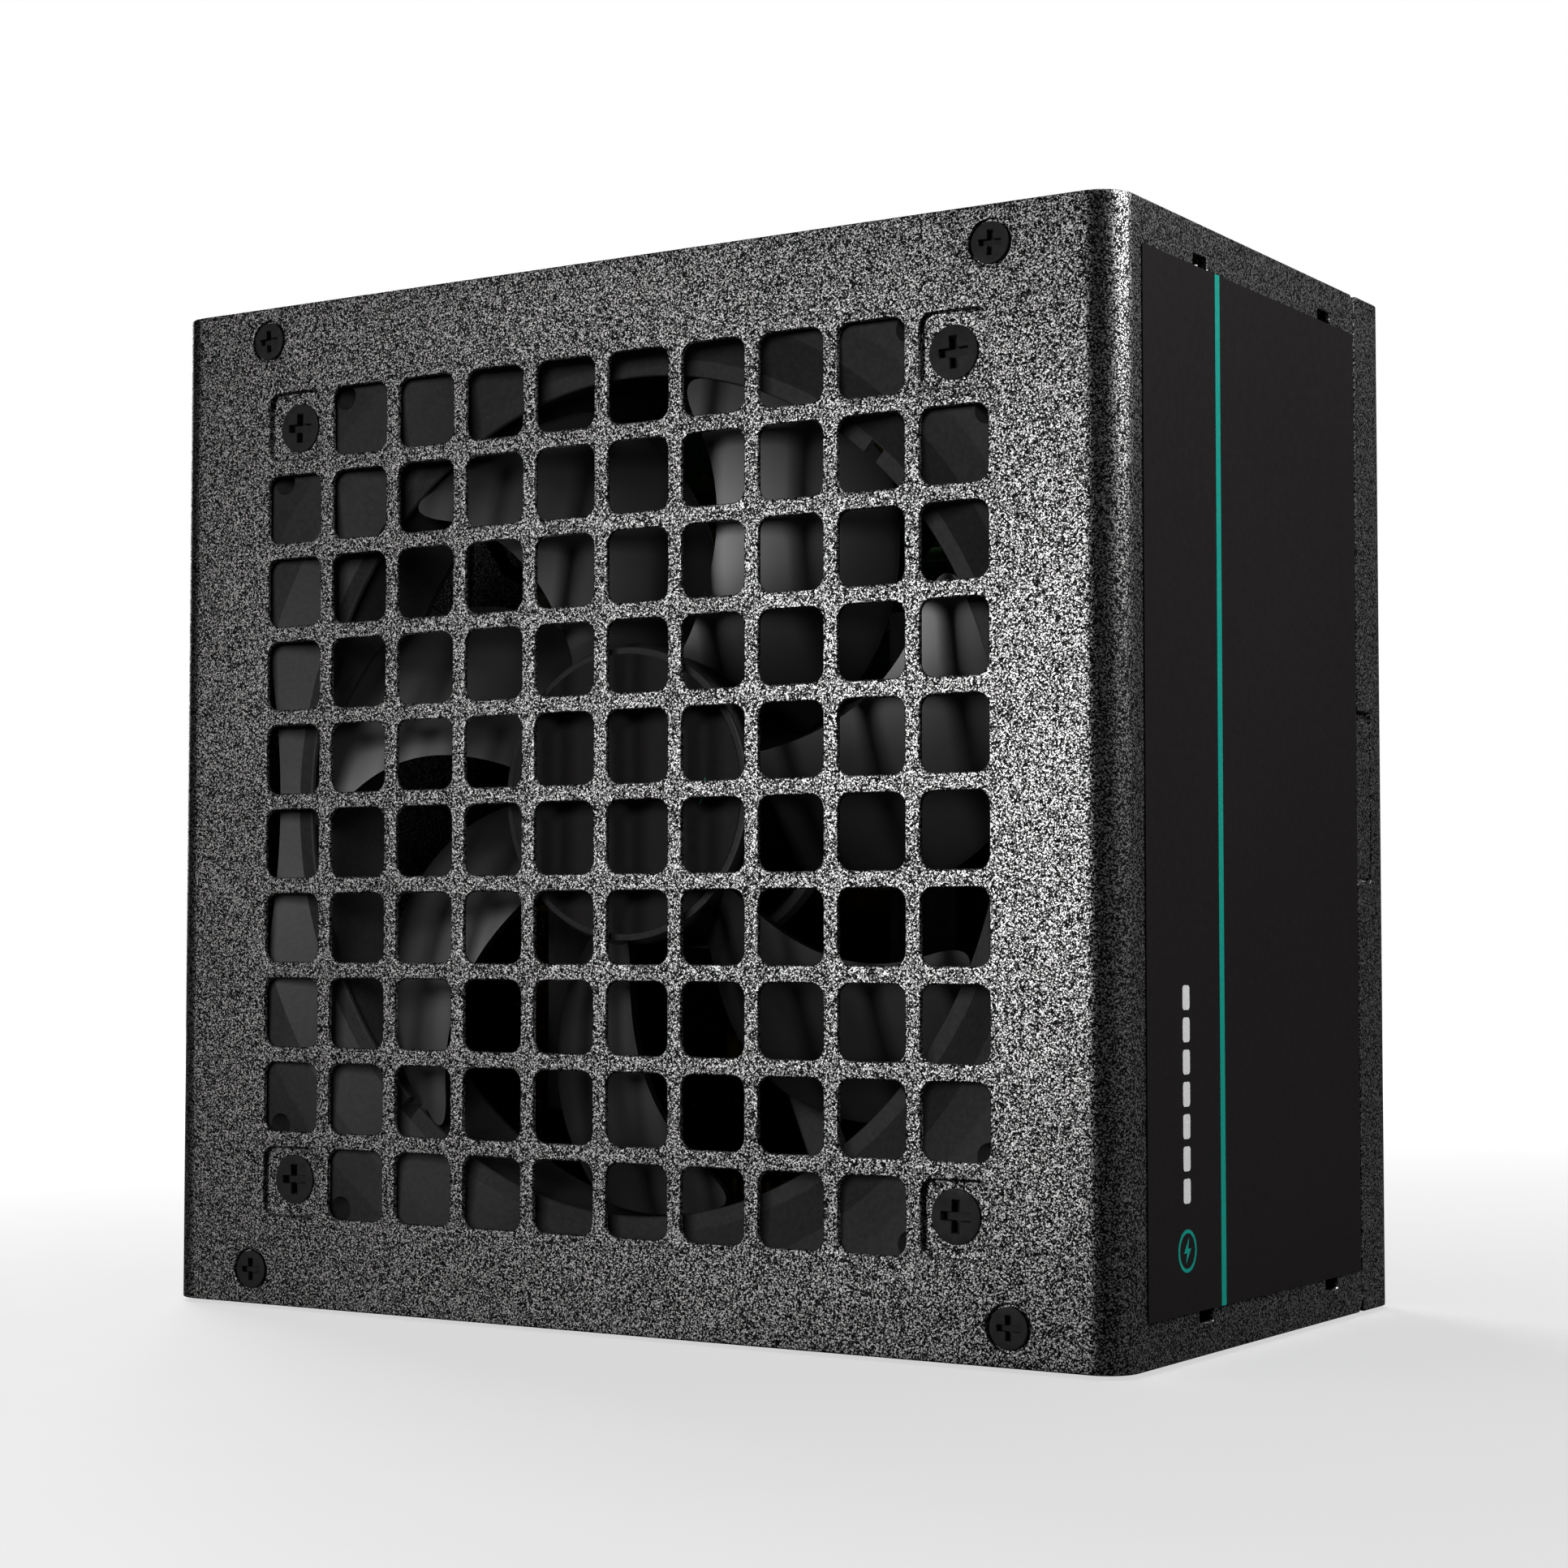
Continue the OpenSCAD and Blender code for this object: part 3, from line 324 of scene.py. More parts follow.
class Nodes:
    """Small helper for building a node tree."""

    def __init__(self, name):
        self.mat = bpy.data.materials.new(name)
        self.mat.use_nodes = True
        self.tree = self.mat.node_tree
        self.tree.nodes.clear()
        self.out = self.tree.nodes.new("ShaderNodeOutputMaterial")
        self.bsdf = self.tree.nodes.new("ShaderNodeBsdfPrincipled")
        self.link(self.bsdf.outputs[0], self.out.inputs["Surface"])
        self.coord = self.tree.nodes.new("ShaderNodeTexCoord")

    def link(self, a, b):
        self.tree.links.new(a, b)

    def node(self, kind, **values):
        n = self.tree.nodes.new(kind)
        for k, v in values.items():
            if k in n.inputs:
                if isinstance(v, bpy.types.NodeSocket):
                    self.link(v, n.inputs[k])
                else:
                    n.inputs[k].default_value = v
            else:
                setattr(n, k, v)
        return n

    def noise(self, scale, detail=2.0, rough=0.5, vector=None):
        n = self.node("ShaderNodeTexNoise", Scale=scale, Detail=detail, Roughness=rough)
        self.link(vector or self.coord.outputs["Object"], n.inputs["Vector"])
        return n.outputs["Fac"]

    def voronoi(self, scale, feature="F1", vector=None):
        n = self.node("ShaderNodeTexVoronoi", Scale=scale)
        n.feature = feature
        self.link(vector or self.coord.outputs["Object"], n.inputs["Vector"])
        return n

    def ramp(self, fac, stops):
        n = self.node("ShaderNodeValToRGB")
        self.link(fac, n.inputs["Fac"])
        cr = n.color_ramp
        while len(cr.elements) < len(stops):
            cr.elements.new(0.5)
        for e, (p, c) in zip(cr.elements, stops):
            e.position = p
            e.color = (c, c, c, 1) if not isinstance(c, (tuple, list)) else (*c[:3], 1)
        return n.outputs["Color"]

    def math(self, op, a, b=0.5, clamp=False):
        n = self.tree.nodes.new("ShaderNodeMath")
        n.operation = op
        n.use_clamp = clamp
        for k, v in enumerate((a, b)):
            if isinstance(v, bpy.types.NodeSocket):
                self.link(v, n.inputs[k])
            else:
                n.inputs[k].default_value = v
        return n.outputs[0]

    def mix(self, fac, a, b):
        n = self.tree.nodes.new("ShaderNodeMix")
        n.data_type = "RGBA"
        for s, v in ((n.inputs[0], fac), (n.inputs[6], a), (n.inputs[7], b)):
            if isinstance(v, bpy.types.NodeSocket):
                self.link(v, s)
            elif s.type == "RGBA":
                s.default_value = (*v[:3], 1)
            else:
                s.default_value = v
        return n.outputs[2]

    def bump(self, height, strength, distance, normal=None):
        n = self.node("ShaderNodeBump", Strength=strength, Distance=distance)
        self.link(height, n.inputs["Height"])
        if normal is not None:
            self.link(normal, n.inputs["Normal"])
        return n.outputs["Normal"]

    def set(self, **values):
        for k, v in values.items():
            s = self.bsdf.inputs[k.replace("_", " ")]
            if isinstance(v, bpy.types.NodeSocket):
                self.link(v, s)
            elif s.type == "RGBA":
                s.default_value = (*v[:3], 1)
            else:
                s.default_value = v
        return self.mat


def powder_coat():
    """Coarse black sand-texture powder coat: bright and dark grains, each a fraction of a millimetre across."""
    n = Nodes("powder_coat")
    cells = n.voronoi(6400)
    sep = n.node("ShaderNodeSeparateColor")
    n.link(cells.outputs["Color"], sep.inputs[0])
    fine = n.noise(8600, 2.0, 0.6)
    grain = n.math("ADD", n.math("MULTIPLY", sep.outputs[0], 0.62), n.math("MULTIPLY", fine, 0.38))
    speck = n.ramp(grain, [(0.40, 0.001), (0.52, 0.012), (0.62, 0.30), (0.74, 0.95)])
    broad = n.ramp(n.noise(28, 2.0, 0.5), [(0.3, 0.92), (0.7, 1.03)])
    tint = n.node("ShaderNodeMix", data_type="RGBA", blend_type="MULTIPLY")
    tint.inputs[0].default_value = 1.0
    n.link(speck, tint.inputs[6])
    n.link(broad, tint.inputs[7])
    rough = n.ramp(grain, [(0.3, 0.50), (0.7, 0.28)])
    flake = n.ramp(grain, [(0.44, 0.0), (0.60, 0.92)])
    normal = n.bump(n.math("ADD", grain, n.math("MULTIPLY", cells.outputs["Distance"], -0.5)), 0.18, 0.00012)
    return n.set(Base_Color=tint.outputs[2], Roughness=rough, Metallic=flake, Normal=normal, Specular_IOR_Level=0.10)


def black_screw():
    n = Nodes("black_screw")
    v = n.noise(900, 4.0, 0.6)
    col = n.ramp(v, [(0.3, (0.040, 0.040, 0.041)), (0.7, (0.062, 0.062, 0.063))])
    rough = n.ramp(n.noise(350, 3.0), [(0.3, 0.42), (0.7, 0.56)])
    return n.set(Base_Color=col, Roughness=rough, Specular_IOR_Level=0.30, Normal=n.bump(v, 0.10, 0.00006))


def dark_label():
    n = Nodes("dark_label")
    sep = n.node("ShaderNodeSeparateXYZ")
    n.link(n.coord.outputs["Object"], sep.inputs[0])
    v = n.noise(1500, 3.0, 0.6)
    big = n.noise(14, 2.0)
    col = n.ramp(n.math("ADD", n.math("MULTIPLY", v, 0.5), n.math("MULTIPLY", big, 0.5)), [(0.35, (0.0118, 0.0103, 0.0109)), (0.65, (0.0152, 0.0134, 0.0142))])
    rough = n.ramp(n.noise(900, 3.0), [(0.3, 0.46), (0.7, 0.54)])
    return n.set(Base_Color=col, Roughness=rough, Specular_IOR_Level=0.12, Normal=n.bump(v, 0.05, 0.00004))


def ink(name, colour, rough=0.42):
    """Printed ink on a sticker."""
    n = Nodes(name)
    v = n.noise(2600, 3.0, 0.6)
    a = tuple(c * 0.90 for c in colour)
    b = tuple(min(1.0, c * 1.08) for c in colour)
    return n.set(Base_Color=n.ramp(v, [(0.3, a), (0.7, b)]), Roughness=n.ramp(n.noise(300, 2.0), [(0.3, rough - 0.05), (0.7, rough + 0.06)]), Specular_IOR_Level=0.3,
                 Normal=n.bump(v, 0.04, 0.00003))


def moulded(name, colour, rough, grain=2200, bump=0.14, depth=0.00006, spec=0.4, spread=0.25, coat=0.0):
    """Moulded plastic with a fine spark-eroded grain."""
    n = Nodes(name)
    v = n.noise(grain, 3.0, 0.65)
    flow = n.noise(45, 3.0, 0.5)
    mixv = n.math("ADD", n.math("MULTIPLY", v, 0.6), n.math("MULTIPLY", flow, 0.4))
    a = tuple(c * (1 - spread) for c in colour)
    b = tuple(min(1.0, c * (1 + spread)) for c in colour)
    rr = n.ramp(flow, [(0.3, max(0.05, rough - 0.05)), (0.7, min(1.0, rough + 0.07))])
    return n.set(Base_Color=n.ramp(mixv, [(0.32, a), (0.68, b)]), Roughness=rr, Specular_IOR_Level=spec, Coat_Weight=coat, Normal=n.bump(v, bump, depth))


def brushed(name, colour, rough, metallic=1.0, stretch=(1, 1, 14), scale=900, bump=0.10):
    """Drawn or brushed metal with fine lines along one axis."""
    n = Nodes(name)
    mp = n.node("ShaderNodeMapping")
    n.link(n.coord.outputs["Object"], mp.inputs["Vector"])
    mp.inputs["Scale"].default_value = tuple(1.0 / s for s in stretch)
    v = n.noise(scale, 4.0, 0.6, mp.outputs[0])
    spots = n.noise(70, 3.0, 0.6)
    a = tuple(c * 0.80 for c in colour)
    b = tuple(min(1.0, c * 1.06) for c in colour)
    return n.set(Base_Color=n.ramp(n.math("ADD", n.math("MULTIPLY", v, 0.5), n.math("MULTIPLY", spots, 0.5)), [(0.33, a), (0.67, b)]), Metallic=metallic,
                 Roughness=n.ramp(v, [(0.3, rough - 0.07), (0.7, rough + 0.1)]), Normal=n.bump(v, bump, 0.00003))


def circuit_board(name="circuit_board", colour=(0.012, 0.085, 0.035)):
    """Green solder resist over copper tracks, with tinned pads."""
    n = Nodes(name)
    cell = n.node("ShaderNodeTexBrick", Scale=150.0)
    n.link(n.coord.outputs["Object"], cell.inputs["Vector"])
    cell.inputs["Mortar Size"].default_value = 0.06
    wav = n.node("ShaderNodeTexWave", Scale=260.0, Distortion=6.0, Detail=1.5)
    wav.inputs["Detail Scale"].default_value = 0.6
    n.link(n.coord.outputs["Object"], wav.inputs["Vector"])
    track = n.ramp(wav.outputs["Fac"], [(0.46, 0.0), (0.54, 1.0)])
    pads = n.ramp(n.voronoi(330).outputs["Distance"], [(0.16, 1.0), (0.20, 0.0)])
    dark = tuple(c * 0.6 for c in colour)
    col = n.mix(track, dark, tuple(c * 1.35 for c in colour))
    col = n.mix(n.math("MULTIPLY", pads, 0.85), col, (0.45, 0.46, 0.44))
    return n.set(Base_Color=col, Roughness=n.ramp(pads, [(0.0, 0.42), (1.0, 0.3)]), Metallic=n.math("MULTIPLY", pads, 0.8), Normal=n.bump(track, 0.15, 0.00003))


def enamel_wire():
    n = Nodes("copper")
    mp = n.node("ShaderNodeMapping")
    n.link(n.coord.outputs["Object"], mp.inputs["Vector"])
    wav = n.node("ShaderNodeTexWave", Scale=1500.0, Distortion=0.6, Detail=1.0)
    wav.bands_direction = "DIAGONAL"
    n.link(mp.outputs[0], wav.inputs["Vector"])
    v = n.math("ADD", n.math("MULTIPLY", wav.outputs["Fac"], 0.6), n.math("MULTIPLY", n.noise(300, 3.0), 0.4))
    return n.set(Base_Color=n.ramp(v, [(0.2, (0.22, 0.07, 0.025)), (0.8, (0.72, 0.30, 0.12))]), Metallic=0.85, Roughness=0.33, Coat_Weight=0.35, Normal=n.bump(wav.outputs["Fac"], 0.35, 0.0001))


def film():
    n = Nodes("clear_film")
    v = n.noise(120, 3.0)
    return n.set(Base_Color=n.ramp(v, [(0.3, (0.42, 0.40, 0.34)), (0.7, (0.58, 0.56, 0.48))]), Roughness=n.ramp(v, [(0.3, 0.22), (0.7, 0.34)]), Transmission_Weight=0.35, IOR=1.45,
                 Normal=n.bump(n.noise(40, 2.0), 0.2, 0.0006))


def pale_print():
    """Pale rating sticker: satin film with a faint paper tooth."""
    n = Nodes("pale_label")
    v = n.noise(1800, 4.0, 0.65)
    big = n.noise(20, 2.0)
    m = n.math("ADD", n.math("MULTIPLY", v, 0.6), n.math("MULTIPLY", big, 0.4))
    return n.set(Base_Color=n.ramp(m, [(0.3, (0.50, 0.50, 0.49)), (0.7, (0.60, 0.60, 0.59))]), Roughness=n.ramp(big, [(0.3, 0.40), (0.7, 0.52)]), Specular_IOR_Level=0.4,
                 Normal=n.bump(v, 0.06, 0.00004))


MATS = {
    "powder_coat": powder_coat(),
    "black_screw": black_screw(),
    "dark_label": dark_label(),
    "pale_label": pale_print(),
    "fan_plastic": moulded("fan_plastic", (0.012, 0.012, 0.012), 0.62, 1500, 0.30, 0.00010, 0.30, 0.45),
    "blade_plastic": moulded("blade_plastic", (0.006, 0.006, 0.0062), 0.40, 2600, 0.05, 0.00003, 0.55, 0.12),
    "connector_black": moulded("connector_black", (0.014, 0.014, 0.015), 0.48, 2200, 0.16, 0.00006, 0.42, 0.25),
    "rocker_plastic": moulded("rocker_plastic", (0.012, 0.012, 0.0125), 0.26, 2600, 0.05, 0.00003, 0.5, 0.15),
    "steel": brushed("steel", (0.62, 0.62, 0.64), 0.30),
    "bronze": brushed("bronze", (0.66, 0.50, 0.25), 0.30),
    "copper": enamel_wire(),
    "magnet": moulded("magnet", (0.035, 0.035, 0.037), 0.6, 900, 0.2, 0.00008, 0.4, 0.3),
    "ferrite": moulded("ferrite", (0.030, 0.030, 0.031), 0.55, 700, 0.3, 0.0001, 0.45, 0.4),
    "painted_core": moulded("painted_core", (0.48, 0.36, 0.05), 0.42, 500, 0.2, 0.0001, 0.5, 0.18),
    "circuit_board": circuit_board(),
    "wire_sleeve": moulded("wire_sleeve", (0.016, 0.016, 0.016), 0.42, 1200, 0.12, 0.00006, 0.45, 0.2),
    "earth_sleeve": moulded("earth_sleeve", (0.08, 0.26, 0.04), 0.42, 1200, 0.12, 0.00006, 0.45, 0.2),
    "yellow_plastic": moulded("yellow_plastic", (0.60, 0.42, 0.05), 0.44, 800, 0.12, 0.00006, 0.45, 0.12),
    "clear_film": film(),
    "glazed_ceramic": moulded("glazed_ceramic", (0.66, 0.62, 0.54), 0.18, 400, 0.05, 0.00005, 0.6, 0.08, 0.4),
    "package_epoxy": moulded("package_epoxy", (0.014, 0.014, 0.015), 0.5, 1400, 0.2, 0.00006, 0.4, 0.25),
    "heatsink_alloy": brushed("heatsink_alloy", (0.66, 0.67, 0.69), 0.34),
    "capacitor_sleeve": moulded("capacitor_sleeve", (0.012, 0.016, 0.036), 0.28, 600, 0.04, 0.00004, 0.5, 0.15, 0.25),
    "pale_plastic": moulded("pale_plastic", (0.62, 0.60, 0.53), 0.42, 1200, 0.10, 0.00005, 0.45, 0.06),
}
TEAL = ink("teal_ink", (0.0075, 0.325, 0.262))
WHITE = ink("white_ink", (0.80, 0.80, 0.80))
GREY = ink("grey_ink", (0.20, 0.20, 0.20))

# CAD nodes that stay get their slot's material, welded and with lightly broken edges
for row in RECORD["subparts"]:
    ob = NODES[row["node"]]
    mat = MATS[row["material_slot"]]
    if not ob.data.materials:
        ob.data.materials.append(mat)
    for i in range(len(ob.data.materials)):
        ob.data.materials[i] = mat
    for p in ob.data.polygons:
        p.use_smooth = True

BREAK = {
    "inlet_pins": 0.25, "inlet_screws": 0.12, "inlet_board": 0.1, "inlet_capacitor": 0.5, "switch_terminals": 0.1, "earth_screw": 0.15,
    "board_standoffs": 0.2, "board_screws": 0.15, "main_board": 0.1, "line_fuse": 0.2, "filter_capacitors": 0.5, "filter_choke_core": 0.6,
    "filter_choke_windings": 0.28, "inrush_relay": 0.4, "bridge_rectifier": 0.3, "pfc_choke_core": 0.8, "pfc_choke_winding": 0.34,
    "primary_heatsink": 0.2, "power_transistors": 0.15, "bulk_capacitor": 0.5, "transformer_core": 0.4, "transformer_windings": 0.8,
    "standby_transformer": 0.4, "secondary_heatsink": 0.2, "output_rectifiers": 0.15, "output_choke_core": 0.8, "output_choke_winding": 0.4,
    "output_capacitors": 0.3, "controller_board": 0.1, "fan_header": 0.2, "socket_board": 0.08, "socket_pins": 0.12, "bus_bars": 0.2,
    "fan_coils": 0.3, "fan_stator_core": 0.1, "fan_magnet_ring": 0.2, "fan_shaft": 0.1, "fan_bearing": 0.1, "fan_circuit_board": 0.08,
}
for name, ob in NODES.items():
    w = ob.modifiers.new("weld", "WELD")
    w.merge_threshold = 2e-6
    if name in BREAK:
        b = ob.modifiers.new("edges", "BEVEL")
        b.width = BREAK[name] * MM
        b.segments = 2
        b.limit_method = "ANGLE"
        b.angle_limit = math.radians(42)
        b.use_clamp_overlap = True
        b.harden_normals = False
    n = ob.modifiers.new("normals", "WEIGHTED_NORMAL")
    n.mode = "FACE_AREA"
    n.weight = 60
    n.keep_sharp = True

# ------------------------------------------------------------------ fan cover: one folded sheet

SIDE = SEAM_Y + HY - BEND                 # straight part of each side
ARC = BEND * math.pi / 2                  # length of a bend, on the outside
FLAT = 2 * HX - 2 * BEND
U1, U2 = SIDE, SIDE + ARC
U3, U4 = U2 + FLAT, U2 + FLAT + ARC
U5 = U4 + SIDE
UC = (U2 + U3) / 2


def fold_cover(u, v, w):
    """Flat pattern to the folded cover: u runs round the section, v up the case and w into the sheet."""
    if u < U2:
        x, y, z = fold_cover_right(2 * UC - u, v, w)
        return Vector((-x, y, z))
    return Vector(fold_cover_right(u, v, w))


def fold_cover_right(u, v, w):
    if u <= U3:
        return (u - UC, -HY + w, v)
    if u <= U4:
        a = (u - U3) / BEND
        return (HX - BEND + (BEND - w) * math.sin(a), -HY + BEND - (BEND - w) * math.cos(a), v)
    return (HX - w, -HY + BEND + (u - U4), v)


TAB0, TAB1, TAB_REACH = FAN_Z - 10.8, FAN_Z + 10.8, 4.7
CH = 0.85


def side_edge(s):
    """Free edge of a cover side from the bottom up, u measured outwards from the edge."""
    pts = [(0 - CH, 0), (0, CH), (0, TAB0 - 0.6)]
    pts += arc(0.6, TAB0 - 0.6, 0.6, 180, 90, 4)[1:]
    pts += arc(TAB_REACH - 0.8, TAB0 + 0.8, 0.8, 270, 360, 4)
    pts += arc(TAB_REACH - 0.8, TAB1 - 0.8, 0.8, 0, 90, 4)
    pts += arc(0.6, TAB1 + 0.6, 0.6, 270, 180, 4)
    pts += [(0, TAB1 + 0.6), (0, CASE_D - CH), (0 - CH, CASE_D)]
    return pts


outline = [(U5 + u, v) for u, v in side_edge(1)] + [(-u, v) for u, v in reversed(side_edge(1))]
holes = []
for i in range(10):
    for j in range(10):
        holes.append(rounded(HOLE, HOLE, HOLE_R, 6, UC + (i - 4.5) * PITCH, FAN_Z + (j - 4.5) * PITCH))
for x, z in COVER_SCREWS:
    holes.append(ring(UC + x, z, 2.9, 40))
for y in (-HY + 21.3, -HY + 61.2):
    for z in (4.0, CASE_D - 7.0):
        u = U4 + (y + HY - BEND)
        holes.append(rounded(4.15, 3.0, 0.35, 3, u + 4.15 / 2, z + 1.5))
        holes.append(rounded(4.15, 3.0, 0.35, 3, 2 * UC - u - 4.15 / 2, z + 1.5))

bm = bmesh.new()
add_plate(bm, [outline] + holes, 0, SKIN, 0.20, 3, 0.08)
steps = 14
cut(bm, 0, [U3 + (U4 - U3) * k / steps for k in range(steps + 1)] + [U1 + (U2 - U1) * k / steps for k in range(steps + 1)])
remap(bm, fold_cover)

# pressed recess cups behind the four corner openings, each with its hole for a fan screw
cups = bmesh.new()
for si in (-1, 1):
    for sj in (-1, 1):
        cx, cy = si * 4.5 * PITCH, sj * 4.5 * PITCH
        hx0, hy0 = si * FAN_HOLE - cx, sj * FAN_HOLE - cy
        cup = bmesh.new()
        n = 8
        m = 4 * (n + 1)

        def sq(w, r, z):
            return [(x, y, z) for x, y in rounded(w, w, r, n)]

        def circ(r, z):
            out = []
            for x, y in rounded(HOLE, HOLE, HOLE_R, n):
                a = math.atan2(y - hy0, x - hx0)
                out.append((hx0 + r * math.cos(a), hy0 + r * math.sin(a), z))
            return out

        rings3 = [sq(HOLE - 0.02, HOLE_R, -0.60), sq(HOLE - 0.02, HOLE_R, -FLOOR + 0.26), sq(HOLE - 0.08, HOLE_R - 0.04, -FLOOR + 0.12), sq(HOLE - 0.24, HOLE_R - 0.12, -FLOOR + 0.03),
                  sq(HOLE - 0.46, HOLE_R - 0.23, -FLOOR), circ(3.0, -FLOOR), circ(2.5, -FLOOR), circ(2.35, -FLOOR - 0.12), circ(2.35, -RECESS - 0.68), circ(2.5, -RECESS - SHEET),
                  sq(HOLE + 0.9, HOLE_R + 0.45, -RECESS - SHEET), sq(HOLE + 1.4, HOLE_R + 0.7, -RECESS - SHEET + 0.15), sq(HOLE + 1.6, HOLE_R + 0.8, -RECESS - SHEET + 0.4), sq(HOLE + 1.6, HOLE_R + 0.8, -SKIN + 0.05)]
        vr = [[cup.verts.new((cx + x, cy + y, z)) for x, y, z in r] for r in rings3]
        for a, b in zip(vr, vr[1:] + vr[:1]):
            for i in range(m):
                j = (i + 1) % m
                f = (a[i], b[i], b[j], a[j])
                cup.faces.new(f)
        bmesh.ops.remove_doubles(cup, verts=cup.verts, dist=1e-6)
        join(cups, cup, facing(-HY, FAN_Z))
# seats of the countersunk case screws
for x, z in COVER_SCREWS:
    seat = bmesh.new()
    add_lathe(seat, [(1.75, -SHEET), (1.75, -0.56), (1.80, -0.51), (2.96, -0.51), (2.96, -SHEET + 0.02)], 40, x, z, True)
    join(bm, seat, facing(-HY))
cover = piece("fan_cover_shell", bm, MATS["powder_coat"], replaces=["fan_cover"])
recesses = piece("fan_cover_recesses", cups, MATS["powder_coat"], replaces=["fan_cover"])

# ------------------------------------------------------------------ back shell: one folded tray

B2 = 1.4                                  # outside radius of the end panels' bends
A2 = B2 * math.pi / 2
STRIP = HY - BEND - (SEAM_Y + SEAM_GAP)   # straight part of a side strip
PW = HX - SHEET - 0.05                    # half width of an end panel
PF = -HY + SHEET + 0.05                   # front edge of an end panel
FLAP = HY - B2 - PF                       # straight part of an end panel
RELIEF = HX - BEND                        # where the panel's fold ends


def fold_tray(u, v, w):
    """Flat pattern to the folded tray: u across the back plate, v up it, w from its outside inwards."""
    if abs(u) > RELIEF:
        s = 1 if u > 0 else -1
        d = abs(u) - RELIEF
        if B2 - 1e-6 <= v <= CASE_D - B2 + 1e-6 or d > 0 and 0 - 1e-6 <= v <= CASE_D + 1e-6:
            if d <= ARC:
                a = d / BEND
                return Vector((s * (RELIEF + (BEND - w) * math.sin(a)), HY - BEND + (BEND - w) * math.cos(a), v))
            return Vector((s * (HX - w), HY - BEND - (d - ARC), v))
    top = v > CASE_D / 2
    d = (v - (CASE_D - B2)) if top else (B2 - v)
    if d <= 0:
        return Vector((u, HY - w, v))
    if d <= A2:
        a = d / B2
        y, z = HY - B2 + (B2 - w) * math.cos(a), (B2 - w) * math.sin(a)
    else:
        y, z = HY - B2 - (d - A2), B2 - w
    z = CASE_D - B2 + z if top else B2 - z
    return Vector((u, y, z))


def strip_edge():
    """Edge of a side strip from the bottom up, with the notch for the cover's tab; d measured from the relief."""
    e = ARC + STRIP
    n0, n1, deep = TAB0 - 0.7, TAB1 + 1.5, 4.75
    pts = [(e - CH, 0), (e, CH), (e, n0 - 0.3)] + arc(e - 0.3, n0 - 0.3, 0.3, 0, 90, 3)[1:]
    pts += arc(e - deep + 0.8, n0 + 0.8, 0.8, 270, 180, 4) + arc(e - deep + 0.8, n1 - 0.8, 0.8, 180, 90, 4)
    pts += arc(e - 0.3, n1 + 0.3, 0.3, 270, 360, 3)[:-1] + [(e, n1 + 0.3), (e, CASE_D - CH), (e - CH, CASE_D)]
    return pts


def y_to_flat(y, top):
    """Flat v of a point on an end panel at y."""
    d = (HY - B2 - y) + A2
    return CASE_D - B2 + d if top else B2 - d


R = BEND - SHEET - 0.05
panel_right = []      # right half of a panel's outline, from the fold outwards: (x, y)
panel_right += [(RELIEF - 0.7, HY - B2 - 0.9)]
panel_right += [(RELIEF - 0.2, HY - SHEET - 0.35)]
panel_right += arc(HX - BEND, HY - BEND, R, 72, 0, 5)
panel_right += arc(HX - BEND, -HY + BEND, R, 0, -90, 6)

shape = [(RELIEF + 0.02, 0.0)] + [(RELIEF + d, v) for d, v in strip_edge()] + [(RELIEF + 0.02, CASE_D)]
shape += [(RELIEF, CASE_D - B2 - 1.2), (RELIEF - 0.7, CASE_D - B2 - 1.2)]
shape += [(x, y_to_flat(y, True)) for x, y in panel_right]
half = shape
left = [(-x, y) for x, y in reversed(half)]
bottom = [(x, y_to_flat(y, False)) for x, y in reversed(panel_right)] + [(RELIEF - 0.7, B2 + 1.2), (RELIEF, B2 + 1.2)]
outline = bottom + half + left + [(-x, y) for x, y in reversed(bottom)]

holes = []


def hole_on_panel(loop, top):
    """Loop given as (x, y) on the panel, turned into the flat pattern."""
    holes.append([(x, y_to_flat(y, top)) for x, y in loop])


def vent_clear(x, y):
    if not (abs(x) < HX - 8 and abs(y) < HY - 8):
        return False
    if abs(x - INLET[0]) < 29 and abs(y - INLET[1]) < 16:
        return False
    if abs(x - SWITCH[0]) < 12 and abs(y - SWITCH[1]) < 15:
        return False
    if min(math.hypot(x - a, y - b) for a, b in MOUNTS) <= 9.5:
        return False
    return math.hypot(x - 62, y - 20) > 8


for i in range(-12, 13):
    for j in range(-8, 9):
        x = (i + (0 if j % 2 == 0 else 0.5)) * 6.4
        y = j * 6.4 * math.cos(math.radians(30))
        if vent_clear(x, y):
            hole_on_panel(soften(hexagon(x, y, 5.2), 0.45, 2), True)
hole_on_panel(rounded(28, 20.6, 1.5, 4, INLET[0], INLET[1]), True)
hole_on_panel(rounded(13.2, 19.2, 0.6, 3, SWITCH[0], SWITCH[1]), True)
for x, y in MOUNTS:
    hole_on_panel(ring(x, y, 1.72, 32), True)
for s in (-1, 1):
    hole_on_panel(ring(INLET[0] + 20 * s, INLET[1], 1.55, 24), True)

SOCKETS = ([(-43, 18, 9), (-8, 18, 5)], [(-50 + 25 * i, -3, 4) for i in range(5)], [(18 + 20 * i, 18, 3) for i in range(3)])
for group in SOCKETS:
    for x, y, k in group:
        hole_on_panel(rounded(k * 4.2 + 1.5, 9.9, 0.5, 3, x, y), False)

bm = bmesh.new()
add_plate(bm, [outline] + holes, 0, SHEET, 0.12, 2)
cut(bm, 0, [s * (RELIEF + ARC * k / 12) for s in (-1, 1) for k in range(13)])
cut(bm, 1, [B2 - A2 * k / 8 for k in range(9)] + [CASE_D - B2 + A2 * k / 8 for k in range(9)])
remap(bm, fold_tray)


